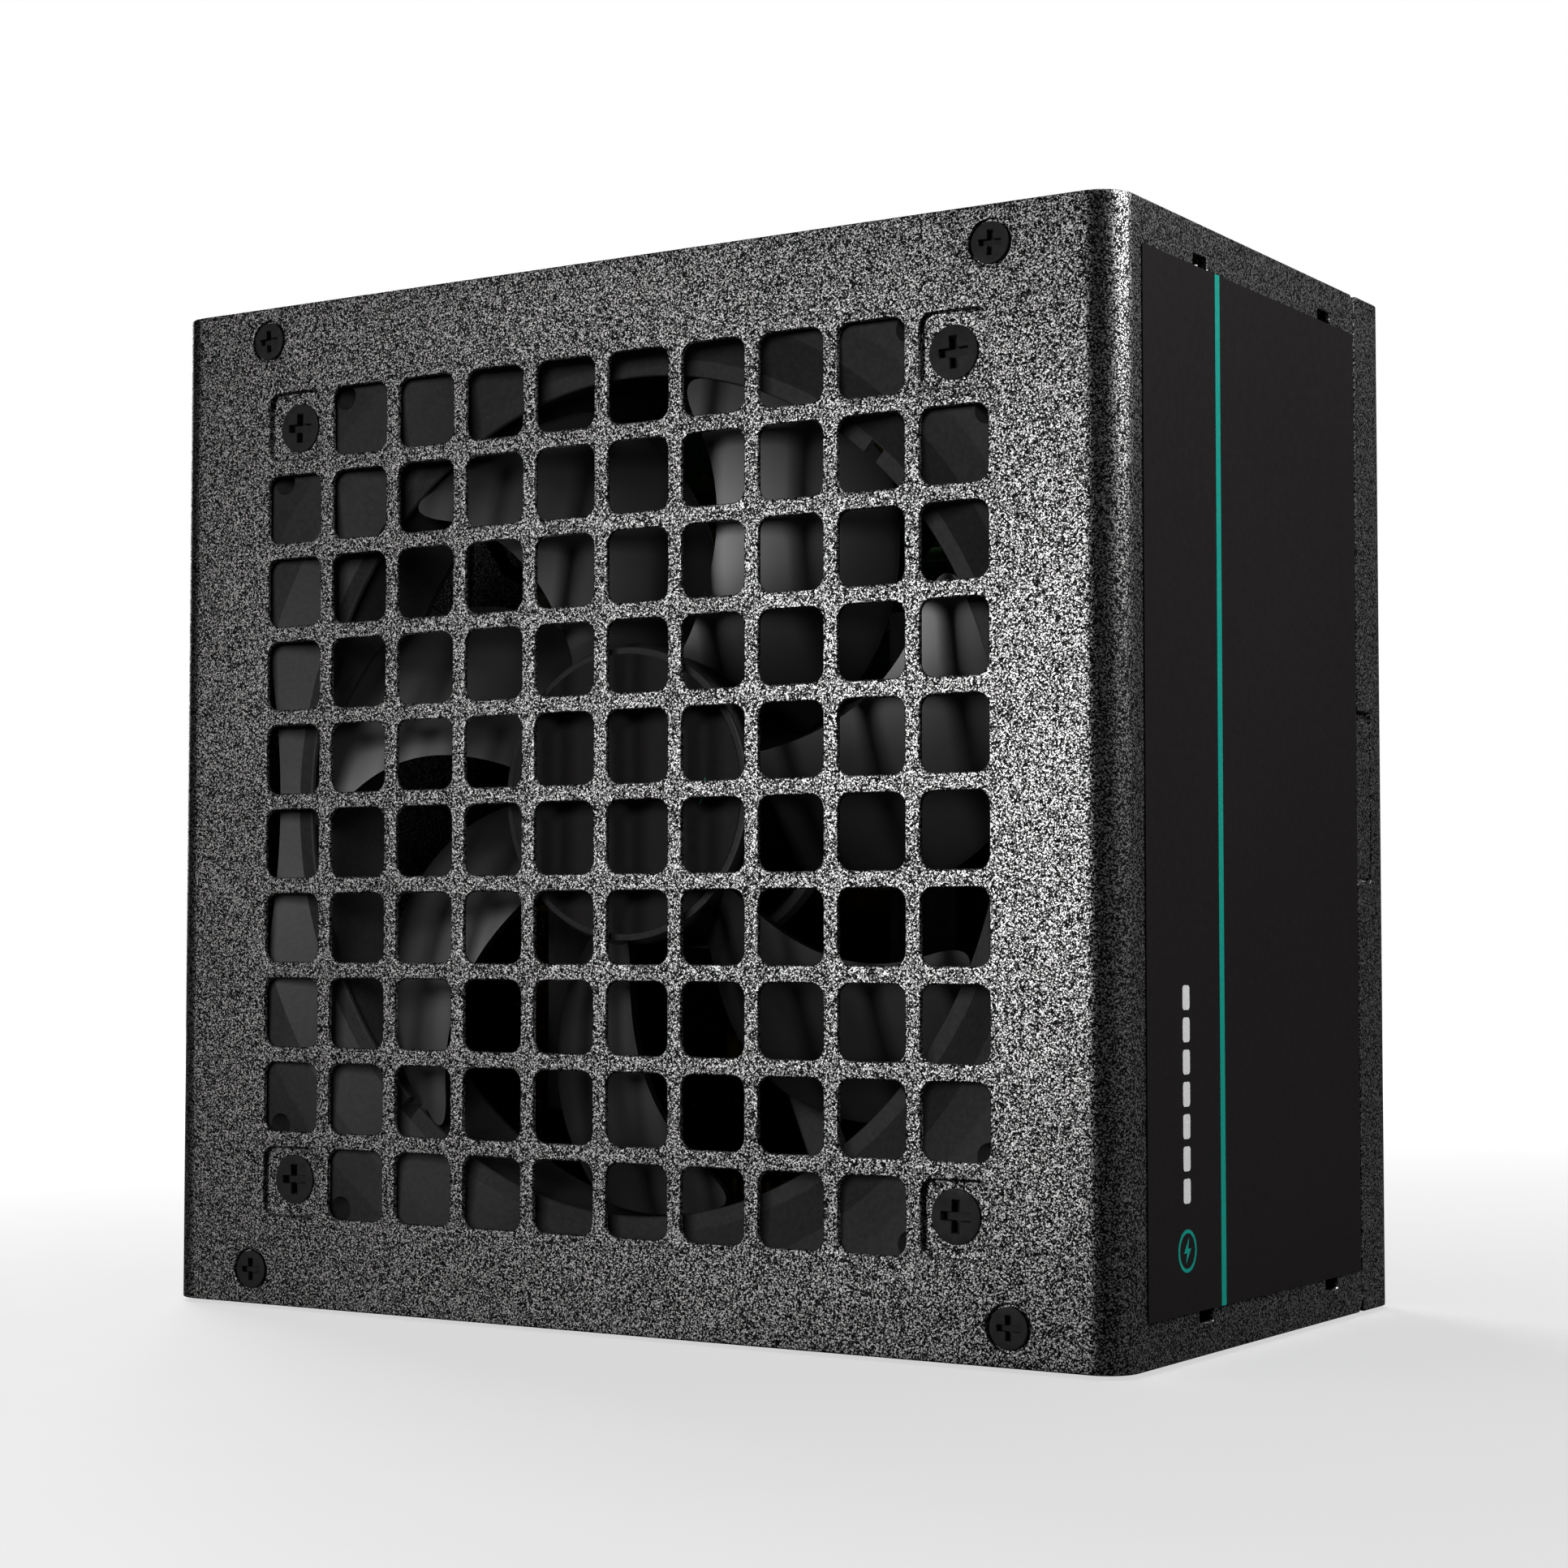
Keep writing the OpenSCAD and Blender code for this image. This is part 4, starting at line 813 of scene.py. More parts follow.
def box_bm(x0, x1, y0, y1, z0, z1, bevel=0.1, seg=2, r=0.2):
    b = bmesh.new()
    add_plate(b, [rounded(x1 - x0, y1 - y0, min(r, (x1 - x0) / 2.2, (y1 - y0) / 2.2), 2, (x0 + x1) / 2, (y0 + y1) / 2)], z0, z1, bevel, seg)
    return b


# joggled lips behind the seam, flanges under the fan side and inside the two sides
for s in (-1, 1):
    x0, x1 = (HX - 2 * SHEET, HX - SHEET) if s > 0 else (-HX + SHEET, -HX + 2 * SHEET)
    join(bm, box_bm(x0, x1, SEAM_Y - 7, SEAM_Y + 6, 6, CASE_D - 6))
    x0, x1 = (HX - 2 * SHEET - 0.1, HX - SHEET - 0.1) if s > 0 else (-HX + SHEET + 0.1, -HX + 2 * SHEET + 0.1)
    for z0 in (SHEET, CASE_D - SHEET - 9):
        fl = bmesh.new()
        zs = 4.0 if z0 < 10 else CASE_D - 7.0
        y0 = -HY + 21.3
        add_plate(fl, [rounded(51, 9, 0.8, 3, -HY + 8 + 25.5, z0 + 4.5), rounded(5.75, 4.6, 0.4, 2, y0 + 2.07, zs + 1.5)], x0, x1, 0.1, 2)
        join(bm, fl, Matrix(((0, 0, 1, 0), (1, 0, 0, 0), (0, 1, 0, 0), (0, 0, 0, 1))))
for z0, zs in ((SHEET, 4.7), (CASE_D - SHEET - 8.5, CASE_D - 4.75)):
    fl = bmesh.new()
    hx1 = 59.9 if z0 < 10 else 57.9
    add_plate(fl, [rounded(136, 8.5, 0.8, 3, 0, z0 + 4.25), ring(-hx1, zs, 1.53, 24), ring(hx1, zs, 1.53, 24)], 0, SHEET, 0.1, 2)
    join(bm, fl, facing(-HY + 2 * SHEET + 0.05))
# tapped collars of the mounting holes: the thread shows as fine ridges
for x, y in MOUNTS:
    prof = [(1.95, CASE_D - 0.79), (2.5, CASE_D - 0.9), (2.5, CASE_D - 2.85), (2.35, CASE_D - 3.0), (1.7, CASE_D - 3.0)]
    z = CASE_D - 2.9
    while z < CASE_D - 0.35:
        prof += [(1.70, z), (1.42, z + 0.2), (1.42, z + 0.28), (1.70, z + 0.48)]
        z += 0.56
    prof += [(1.72, CASE_D - 0.2)]
    cl = bmesh.new()
    add_lathe(cl, prof, 32, x, y, True)
    join(bm, cl)
# tapped boss of the earth screw
cl = bmesh.new()
add_lathe(cl, [(2.02, 0), (2.9, 0), (3.0, 0.12), (3.0, 1.75), (2.02, 1.75)], 40, 0, 0, True)
join(bm, cl, Matrix(((1, 0, 0, 62), (0, 0, 1, HY - SHEET - 1.6), (0, -1, 0, 112), (0, 0, 0, 1))))
tray = piece("base_shell_tray", bm, MATS["powder_coat"], replaces=["base_shell"])

# ------------------------------------------------------------------ screws


def cross(length, width, r=0.0):
    a, b = length / 2, width / 2
    pts = [(a, -b), (a, b), (b, b), (b, a), (-b, a), (-b, b), (-a, b), (-a, -b), (-b, -b), (-b, -a), (b, -a), (b, -b)]
    return soften(pts, r, 2) if r > 0 else pts


def screw(bm, cx, cy, head, side, arm, width, deep, edge, shank, total, cone=0.0, turn=0.0, seg=64):
    """Cross-head screw pointing down from z = 0: rounded head, tapered recess, grooved shank."""
    s = bmesh.new()
    r = head / 2
    prof = [(r - edge * (1 - math.sin(k / 5 * math.pi / 2)), -edge * (1 - math.cos(k / 5 * math.pi / 2))) for k in range(6)]
    prof += [(r, -side)]
    if cone:
        prof += [(r - 0.05, -side - 0.04), (shank + 0.35, -side - cone)]
    prof += [(shank, -side - cone - 0.02)]
    z = -side - cone - 0.5
    while z > -total + 0.9:
        prof += [(shank, z), (shank - 0.22, z - 0.22), (shank - 0.22, z - 0.30), (shank, z - 0.5)]
        z -= 0.6
    prof += [(shank, -total + 0.4), (shank - 0.4, -total), (0, -total)]
    rings = [add_ring(s, ring(0, 0, rr, seg), zz) if rr > 1e-6 else [s.verts.new((0, 0, zz))] for rr, zz in prof]
    for a, b in zip(rings[:-1], rings[1:]):
        if len(b) == 1:
            for i in range(seg):
                s.faces.new((a[i], b[0], a[(i + 1) % seg]))
        else:
            skin(s, a, b)
    lip = 0.06
    c0 = add_ring(s, clean(cross(arm + 2 * lip, width + 2 * lip, 0.10)), 0)
    c1 = add_ring(s, clean(cross(arm, width, 0.08)), -lip)
    c2 = add_ring(s, clean(cross(arm * 0.90, width * 0.86, 0.06)), -deep)
    fill(s, [rings[0], c0])
    skin(s, c0, c1)
    skin(s, c1, c2)
    fill(s, [c2])
    join(bm, s, Matrix.Translation((cx, cy, 0)) @ Matrix.Rotation(math.radians(turn), 4, "Z"))


bm = bmesh.new()
for (x, z), t in zip(COVER_SCREWS, (2.0, -3.0, 1.0, 0.0)):
    screw(bm, x, z, 5.2, 0.30, 3.1, 0.82, 0.75, 0.12, 1.45, 5.0, cone=0.19, turn=t)
piece("case_screws", bm, MATS["black_screw"], replaces=["cover_screws"], matrix=facing(-HY))

bm = bmesh.new()
for si in (-1, 1):
    for sj in (-1, 1):
        screw(bm, si * FAN_HOLE, FAN_Z + sj * FAN_HOLE, 6.8, 0.57, 4.1, 1.10, 0.95, 0.10, 2.08, 9.0, turn=1.5 * si * sj)
piece("fan_mounting_screws", bm, MATS["black_screw"], replaces=["fan_screws"], matrix=facing(-HY + 0.60))

# ------------------------------------------------------------------ labels with generic prints

LY0, LY1 = -HY + 6.5, SEAM_Y - 0.7
LZ0, LZ1 = 5.6, CASE_D - 5.6
for s, nm in ((1, "right"), (-1, "left")):
    M = Matrix(((0, 0, s, s * HX), (1, 0, 0, 0), (0, 1, 0, 0), (0, 0, 0, 1)))
    bm = bmesh.new()
    add_plate(bm, [rounded(LY1 - LY0, LZ1 - LZ0, 0.3, 3, (LY0 + LY1) / 2, (LZ0 + LZ1) / 2)], 0, 0.2, 0.05, 2, 0)
    lab = piece(nm + "_label_film", bm, MATS["dark_label"], replaces=[nm + "_side_label"], matrix=M)
    bm = bmesh.new()
    add_plate(bm, [rounded(1.4, LZ1 - LZ0, 0.05, 1, -15.0, (LZ0 + LZ1) / 2)], 0.2, 0.225, 0.008, 1, 0)
    piece(nm + "_label_stripe", bm, TEAL, matrix=M)
    # a plain row of bars and a bolt in a ring, between the stripe and the bend
    bm = bmesh.new()
    yc = -25.6
    for k in range(7):
        add_plate(bm, [rounded(2.0, 3.0, 0.45, 3, yc, 20.4 + 3.9 * k)], 0.2, 0.22, 0.008, 1, 0)
    piece(nm + "_label_bars", bm, WHITE, matrix=M)
    bm = bmesh.new()
    add_plate(bm, [ring(yc, 13.2, 2.6, 40), ring(yc, 13.2, 2.15, 40)], 0.2, 0.22, 0.008, 1, 0)
    k = 1.0
    bolt = [(0.45, 1.6), (-1.0, -0.25), (-0.15, -0.25), (-0.45, -1.6), (1.0, 0.25), (0.15, 0.25)]
    add_plate(bm, [[(yc + s * x * k, 13.2 + y * k) for x, y in bolt]], 0.2, 0.22, 0.006, 1, 0)
    piece(nm + "_label_sign", bm, TEAL, matrix=M)

# rating sticker without any print but ruled lines
M = Matrix(((-1, 0, 0, 0), (0, 0, 1, HY), (0, 1, 0, FAN_Z), (0, 0, 0, 1)))
bm = bmesh.new()
add_plate(bm, [rounded(112, 84, 2.5, 6)], 0, 0.2, 0.05, 2, 0)
piece("rating_label_film", bm, MATS["pale_label"], replaces=["back_label"], matrix=M)
bm = bmesh.new()
add_plate(bm, [rounded(106, 78, 1.2, 4), rounded(105.2, 77.2, 0.9, 4)], 0.2, 0.22, 0.005, 1, 0)
for y in (26.0, 19.5, 13.0, 6.5, 0.0, -6.5):
    add_plate(bm, [rounded(100, 0.35, 0.05, 1, 0, y)], 0.2, 0.22, 0.005, 1, 0)
for x in (-50.0, -28.0, -12.5, 3.0, 18.5, 34.0, 50.0):
    add_plate(bm, [rounded(0.35, 32.85, 0.05, 1, x, 9.75)], 0.2, 0.221, 0.005, 1, 0)
piece("rating_label_rules", bm, GREY, matrix=M)
bm = bmesh.new()
add_plate(bm, [rounded(100, 1.4, 0.1, 1, 0, 31.5)], 0.2, 0.222, 0.005, 1, 0)
for k in range(9):
    add_plate(bm, [rounded(4.2, 9.0, 0.4, 3, -20 + 6.2 * k, -22.5)], 0.2, 0.222, 0.005, 1, 0)
piece("rating_label_bars", bm, TEAL, matrix=M)

# ------------------------------------------------------------------ fan frame

half = FAN_SIZE / 2
CORNER = 5.0
FLARE = [(55.55, -5.25), (55.7, -5.05), (57.7, -5.05), (57.9, -4.95), (63.4, -1.15), (63.7, -0.92), (68.2, -0.03), (68.7, 0.0)]


def frame_edge(ang):
    """Distance from the centre to the frame's rounded square outline."""
    c, w = abs(math.cos(ang)), abs(math.sin(ang))
    r = half / max(c, w)
    x, y = r * c, r * w
    k = half - CORNER
    if x > k and y > k:      # on the rounded corner
        b = k * (c + w)
        r = b + math.sqrt(b * b - 2 * k * k + CORNER * CORNER)
    return r


def flare_height(r):
    for (r0, z0), (r1, z1) in zip(FLARE, FLARE[1:]):
        if r <= r1:
            return z0 + (z1 - z0) * (r - r0) / (r1 - r0)
    return 0.0


def polar_solid(bm, rows, n=360):
    """Closed solid from rows of (radius, height or None); radii stop at the frame's outline, None takes the flare's height there."""
    verts = []
    for r, z in rows:
        line = []
        for i in range(n):
            a = 2 * math.pi * i / n
            rr = min(r, frame_edge(a))
            zz = flare_height(rr) if z is None else z
            line.append(bm.verts.new((rr * math.cos(a), rr * math.sin(a), zz)))
        verts.append(line)
    for a, b in zip(verts, verts[1:] + verts[:1]):
        skin(bm, a, b)
    bmesh.ops.remove_doubles(bm, verts=bm.verts, dist=1e-4)
    bmesh.ops.dissolve_degenerate(bm, dist=1e-4, edges=bm.edges)


def carve(bm, cutters):
    """Cuts closed bodies out of a closed body."""
    def temp(name, b):
        bmesh.ops.recalc_face_normals(b, faces=b.faces)
        me = bpy.data.meshes.new(name)
        b.to_mesh(me)
        ob = bpy.data.objects.new(name, me)
        bpy.context.scene.collection.objects.link(ob)
        return ob
    base, tool = temp("carve_base", bm), temp("carve_tool", cutters)
    mod = base.modifiers.new("cut", "BOOLEAN")
    mod.operation = "DIFFERENCE"
    mod.solver = "EXACT"
    mod.object = tool
    bpy.context.view_layer.update()
    done = base.evaluated_get(bpy.context.evaluated_depsgraph_get())
    out = bmesh.new()
    out.from_mesh(done.to_mesh())
    done.to_mesh_clear()
    for ob in (base, tool):
        me = ob.data
        bpy.data.objects.remove(ob)
        bpy.data.meshes.remove(me)
    return out


solid = bmesh.new()
rows = [(r, None) for r, z in FLARE] + [(200.0, None), (200.0, -6.2), (DUCT_R + 2.3, -6.2), (DUCT_R + 2.2, -6.3), (DUCT_R + 2.2, -21.3), (DUCT_R + 2.3, -21.4), (200.0, -21.4),
        (200.0, -24.7), (199.0, -25.0), (DUCT_R + 1.2, -25.0), (DUCT_R + 0.7, -24.7), (DUCT_R, -22.8), (DUCT_R, -6.0), (55.55, -5.8)]
polar_solid(solid, rows)
tools = bmesh.new()
for si in (-1, 1):
    for sj in (-1, 1):
        add_plate(tools, [ring(si * FAN_HOLE, sj * FAN_HOLE, 2.15, 32)], -30, 5, 0, 0)
        add_plate(tools, [ring(si * 56.4, sj * 45.3, 1.75, 28)], -9, 5, 0, 0)
        add_plate(tools, [ring(si * 45.3, sj * 56.4, 1.75, 28)], -9, 5, 0, 0)
        nt = bmesh.new()
        add_plate(nt, [[(55.2, -1.15), (57.6, -1.15), (57.6, 1.15), (55.2, 1.15)]], -9.5, 5, 0, 0)
        join(tools, nt, Matrix.Rotation(math.atan2(sj, si) + math.radians(3.7), 4, "Z"))
bm = carve(solid, tools)
for a in range(4):
    t = bmesh.new()
    add_lathe(t, round_profile([(2.15, -FAN_DEPTH + 0.6), (4.0, -FAN_DEPTH + 0.6), (4.0, -0.6), (2.15, -0.6)], 0.1, 1), 32, FAN_HOLE, FAN_HOLE, True)
    g = bmesh.new()
    add_plate(g, [rounded(14, 1.4, 0.4, 3, DUCT_R + 8.4, 0)], -FAN_DEPTH + 1, -8.0, 0.2, 2)
    join(t, g, Matrix.Rotation(math.radians(45), 4, "Z"))
    join(bm, t, Matrix.Rotation(math.radians(90 * a), 4, "Z"))
# motor seat and its four arms
add_lathe(bm, round_profile([(0.01, -FAN_DEPTH), (20.5, -FAN_DEPTH), (20.5, -FAN_DEPTH + 2.4), (17.2, -FAN_DEPTH + 2.4), (17.0, -FAN_DEPTH + 1.2), (3.25, -FAN_DEPTH + 1.2), (3.2, -FAN_DEPTH + 0.8), (0.01, -FAN_DEPTH + 0.8)], 0.25, 3), 96, 0, 0)
add_lathe(bm, round_profile([(3.2, -FAN_DEPTH + 1.0), (4.4, -FAN_DEPTH + 1.0), (4.4, -9.5), (3.2, -9.5)], 0.15, 2), 48, 0, 0, True)
for a in (22, 112, 202, 292):
    g = bmesh.new()
    add_plate(g, [soften([(18, -3.0), (30, -2.4), (DUCT_R + 1, -2.4), (DUCT_R + 1, 2.4), (30, 2.4), (18, 3.0)], 0.5, 3)], -FAN_DEPTH, -FAN_DEPTH + 3, 0.5, 3)
    join(bm, g, Matrix.Rotation(math.radians(a), 4, "Z"))
piece("fan_frame_moulding", bm, MATS["fan_plastic"], replaces=["fan_frame"], matrix=AT_FAN, angle=14)

# ------------------------------------------------------------------ rotor: hub and seven sickle blades

BLADES = 7
PHASE = 0.0
TIP = DUCT_R - 1.5


def blade_mid(s, t):
    """Mean surface: s from the hub to the tip, t across the chord. Returns radius, turn in degrees and height."""
    r = HUB_R - 0.9 + s * (TIP - HUB_R + 0.9)
    turn = -7.1 - 1.5 * s + 25.5 * s * s + (t - 0.5) * (41.8 - 10.5 * s)
    z = -11.9 + 2.4 * s + (t - 0.5) * (13.2 - 4.2 * s) + 1.4 * math.sin(math.pi * t) * (1 - 0.4 * s)
    return r, turn, z


def tip_limit(t):
    """How far the blade reaches at t: both tip corners are rounded off."""
    c = 0.0
    if t > 0.82:
        c = 0.15 * (1 - math.sqrt(max(0.0, 1 - ((t - 0.82) / 0.18) ** 2)))
    if t < 0.07:
        c = 0.05 * (1 - math.sqrt(max(0.0, 1 - ((0.07 - t) / 0.07) ** 2)))
    return 1 - c


def blade(bm, base, ns=22, nt=30):
    ts = [0.5 - 0.5 * math.cos(math.pi * j / nt) for j in range(nt + 1)]
    top, low = [], []
    for i in range(ns + 1):
        a, b = [], []
        for t in ts:
            s = i / ns * tip_limit(t)
            r, turn, z = blade_mid(s, t)
            thick = (2.0 - 0.9 * s) * 0.5
            edge = min(1.0, math.sqrt(max(0.0, 1 - (abs(t - 0.58) / 0.58) ** 2.6)) * 1.05)
            k = thick * max(0.12, edge)
            fillet = 1.6 * math.exp(-s / 0.035)
            ang = math.radians(base + turn)
            a.append((r * math.cos(ang), r * math.sin(ang), z + k + fillet * 0.6))
            b.append((r * math.cos(ang), r * math.sin(ang), z - k - fillet * 0.4))
        top.append([bm.verts.new(p) for p in a])
        low.append([bm.verts.new(p) for p in b])
    m = len(ts)
    for i in range(ns):
        for j in range(m - 1):
            bm.faces.new((top[i][j], top[i + 1][j], top[i + 1][j + 1], top[i][j + 1]))
            bm.faces.new((low[i][j], low[i][j + 1], low[i + 1][j + 1], low[i + 1][j]))
    for i in range(ns):
        bm.faces.new((top[i][0], low[i][0], low[i + 1][0], top[i + 1][0]))
        bm.faces.new((top[i][-1], top[i + 1][-1], low[i + 1][-1], low[i][-1]))
    for j in range(m - 1):
        bm.faces.new((top[0][j], top[0][j + 1], low[0][j + 1], low[0][j]))
        bm.faces.new((top[-1][j], low[-1][j], low[-1][j + 1], top[-1][j + 1]))


bm = bmesh.new()
for k in range(BLADES):
    blade(bm, 360 / BLADES * k + PHASE)
hub = [(0.01, HUB_FRONT - 0.02), (HUB_R - 1.5, HUB_FRONT - 0.02), (HUB_R - 1.35, HUB_FRONT), (HUB_R - 0.95, HUB_FRONT), (HUB_R - 0.70, HUB_FRONT - 0.10), (HUB_R - 0.25, HUB_FRONT - 0.75), (HUB_R - 0.08, HUB_FRONT - 1.2), (HUB_R, HUB_FRONT - 1.8),
       (HUB_R, -20.0), (HUB_R - 0.2, -20.2), (HUB_R - 2.2, -20.2), (HUB_R - 2.4, -20.0), (HUB_R - 2.4, -6.2), (3.4, -6.2), (3.4, -8.6), (1.52, -8.6), (1.52, -4.9), (0.01, -4.9)]
add_lathe(bm, hub, 128, 0, 0)
rotor = piece("fan_rotor_moulding", bm, MATS["blade_plastic"], body="fan_rotor_body", replaces=["fan_rotor"], matrix=AT_FAN, angle=50)

bm = bmesh.new()
add_lathe(bm, [(HUB_R - 1.52, HUB_FRONT - 0.3), (HUB_R - 1.52, HUB_FRONT + 0.08), (HUB_R - 0.80, HUB_FRONT + 0.08), (HUB_R - 0.66, HUB_FRONT), (HUB_R - 0.62, HUB_FRONT - 0.3)], 128, 0, 0, True)
piece("fan_hub_rim", bm, MATS["fan_plastic"], body="fan_rotor_body", matrix=AT_FAN, angle=50)

bm = bmesh.new()
add_plate(bm, [ring(0, 0, HUB_R - 1.5, 128)], HUB_FRONT, HUB_FRONT + 0.25, 0.06, 2, 0)
piece("fan_hub_disc", bm, MATS["dark_label"], body="fan_rotor_body", replaces=["fan_hub_label"], matrix=AT_FAN)
bm = bmesh.new()
for k in range(6):
    add_plate(bm, [rounded(2.6, 1.7, 0.35, 3, -8.6 + 3.5 * k, 0.0)], HUB_FRONT + 0.25, HUB_FRONT + 0.27, 0.006, 1, 0)
piece("fan_hub_bars", bm, WHITE, body="fan_rotor_body", matrix=AT_FAN)
bm = bmesh.new()
add_plate(bm, [[(12.6 + x * 1.15, y * 1.15) for x, y in bolt]], HUB_FRONT + 0.25, HUB_FRONT + 0.27, 0.006, 1, 0)
piece("fan_hub_sign", bm, TEAL, body="fan_rotor_body", matrix=AT_FAN)

# ------------------------------------------------------------------ mains inlet


def inlet_shape(w, h, c, r=0.6):
    return soften([(-w / 2, -h / 2), (w / 2, -h / 2), (w / 2, h / 2 - c), (w / 2 - c, h / 2), (-w / 2 + c, h / 2), (-w / 2, h / 2 - c)], r, 4)


bm = bmesh.new()
add_plate(bm, [rounded(50, 23.6, 5, 10), inlet_shape(24.4, 16, 4.2, 0.8), ring(-20, 0, 2.8 + 0.25, 40), ring(20, 0, 2.8 + 0.25, 40)], 0, 2.2, 0.0, 3, 0.35)
add_plate(bm, [inlet_shape(30.6, 22.4, 4, 1.2), inlet_shape(24.4, 16, 4.2, 0.8)], 2.0, 2.9, 0.0, 3, 0.3)
for s in (-1, 1):
    add_lathe(bm, [(1.65, 0.02), (1.65, 1.5), (2.75, 1.62), (3.1, 1.62), (3.1, 0.02)], 40, 20 * s, 0, True)
# walls and floor of the well
outer, inner = clean(inlet_shape(27.4, 20, 4, 0.8)), clean(inlet_shape(24.4, 16, 4.2, 0.8))
floor = clean(inlet_shape(23.9, 15.5, 4.1, 0.8))
r0 = add_ring(bm, inner, 0.3)
r1 = add_ring(bm, floor, -16.0)
r2 = add_ring(bm, clean(inlet_shape(23.4, 15.0, 4.0, 0.8)), -16.4)
skin(bm, r0, r1)
skin(bm, r1, r2)
fill(bm, [r2])
o0 = add_ring(bm, outer, 0.3)
o1 = add_ring(bm, outer, -18.6)
o2 = add_ring(bm, clean(inlet_shape(26.8, 19.4, 3.8, 0.8)), -19.0)
skin(bm, o0, o1)
skin(bm, o1, o2)
fill(bm, [o2])
fill(bm, [r0, o0])
# raised seats round the pins
for px, py in ((-7, -2), (7, -2), (0, 2)):
    add_plate(bm, [rounded(4.2, 6.2, 0.8, 4, px, py), rounded(2.04, 4.04, 0.3, 2, px, py)], -16.6, -15.4, 0.0, 2, 0.3)
piece("inlet_body", bm, MATS["connector_black"], replaces=["inlet_housing"], matrix=move(INLET[0], INLET[1], CASE_D))

bm = bmesh.new()
for s in (-1, 1):
    screw(bm, 20 * s, 0, 5.6, 0.45, 3.3, 0.85, 1.2, 0.18, 1.45, 7.0, cone=0.5, turn=20 * s)
piece("inlet_fixing_screws", bm, MATS["black_screw"], replaces=["inlet_screws"], matrix=move(INLET[0], INLET[1], CASE_D + 2.2))

# ------------------------------------------------------------------ power switch

bm = bmesh.new()
add_plate(bm, [rounded(15, 21, 1.2, 6), rounded(10.4, 16.7, 0.5, 3)], 0, 1.8, 0.0, 3, 0.45)
add_plate(bm, [rounded(12.8, 18.8, 0.6, 4), rounded(10.4, 16.7, 0.5, 3)], -7.4, 0.3, 0.0, 2, 0)
add_plate(bm, [rounded(12.8, 18.8, 0.6, 4)], -17.0, -7.38, 0.3, 2, 0)
for s in (-1, 1):      # snap ribs on the long sides
    add_plate(bm, [soften([(s * 6.3, -4), (s * 7.0, -3.4), (s * 7.0, 3.4), (s * 6.3, 4)], 0.2, 2)], -6.0, -1.0, 0.2, 2)
piece("switch_bezel", bm, MATS["connector_black"], replaces=["switch_housing"], matrix=move(SWITCH[0], SWITCH[1], CASE_D))

TILT = math.radians(-11.0)
lo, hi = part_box("switch_rocker")
PIVOT = (lo.x + hi.x) / 2 / MM, SWITCH[1], CASE_D - 0.4
# side view of the rocker: two shallow facets that meet in a valley, a round skirt below
prof = []
for k in range(13):
    y = 8.0 - 16.0 * k / 12
    prof.append((y, 2.0 + abs(y) * math.tan(math.radians(11.0)) * 0.98 + 0.25 * math.exp(-(y / 1.2) ** 2)))
prof += arc(0, 0, 8.15, 180 + 2, 180 + 24, 4)
prof += [(-4, -3.4), (4, -3.4)]
prof += arc(0, 0, 8.15, -24, -2, 4)
bm = bmesh.new()
add_plate(bm, [soften(clean(prof), 0.35, 2)], -5.0, 5.0, 0.35, 3)
add_lathe(bm, round_profile([(0.01, -5.7), (1.2, -5.7), (1.2, 5.7), (0.01, 5.7)], 0.15, 2), 32)
ROCK = move(*PIVOT) @ Matrix.Rotation(TILT, 4, "X")
SIDEWAYS = Matrix(((0, 0, 1, 0), (1, 0, 0, 0), (0, 1, 0, 0), (0, 0, 0, 1)))
piece("switch_rocker_cap", bm, MATS["rocker_plastic"], body="rocker_body", replaces=["switch_rocker"], matrix=ROCK @ SIDEWAYS)
slope = math.radians(11.0) * 0.98
bm = bmesh.new()
g = bmesh.new()
add_plate(g, [rounded(0.7, 3.4, 0.2, 3, 0, 4.9)], 2.0, 2.06, 0.02, 1, 0)
join(bm, g, Matrix.Rotation(slope, 4, "X"))
g = bmesh.new()
add_plate(g, [ring(0, -4.9, 1.75, 40), ring(0, -4.9, 1.2, 40)], 2.0, 2.06, 0.02, 1, 0)
join(bm, g, Matrix.Rotation(-slope, 4, "X"))
piece("switch_rocker_marks", bm, WHITE, body="rocker_body", matrix=ROCK)

# ------------------------------------------------------------------ cable sockets

for group, nm, node in zip(SOCKETS, ("wide", "eight_way", "six_way"), ("motherboard_sockets", "graphics_sockets", "drive_sockets")):
    bm = bmesh.new()
    for x, y, k in group:
        w = k * 4.2 + 1.2
        loops = [rounded(w, 9.6, 0.5, 4, x, y)]
        for i in range(k):
            for jj, j in enumerate((-0.5, 0.5)):
                cx, cy = x + (i - (k - 1) / 2) * 4.2, y + j * 4.2
                if (i + jj) % 2 == 0:
                    loops.append(rounded(3.5, 3.5, 0.25, 3, cx, cy))
                else:      # keyed cavities have two corners cut off
                    q = 1.75
                    loops.append(soften([(cx + q, cy + j * 2 * q), (cx + q, cy - j * 0.9), (cx + q - 0.85, cy - j * 2 * q), (cx - q + 0.85, cy - j * 2 * q), (cx - q, cy - j * 0.9), (cx - q, cy + j * 2 * q)], 0.2, 2))
        add_plate(bm, loops, 0.06, 9.6, 0.22, 2, 0)
        add_plate(bm, [rounded(w, 9.6, 0.5, 4, x, y)], 9.58, 12.86, 0.0, 2, 0.2)
        add_plate(bm, [rounded(3.4, 1.6, 0.3, 3, x, y - 5.4)], 0.9, 5.9, 0.15, 2)
    piece("sockets_" + nm, bm, MATS["connector_black"], replaces=[node])

# ------------------------------------------------------------------ stage, light, camera

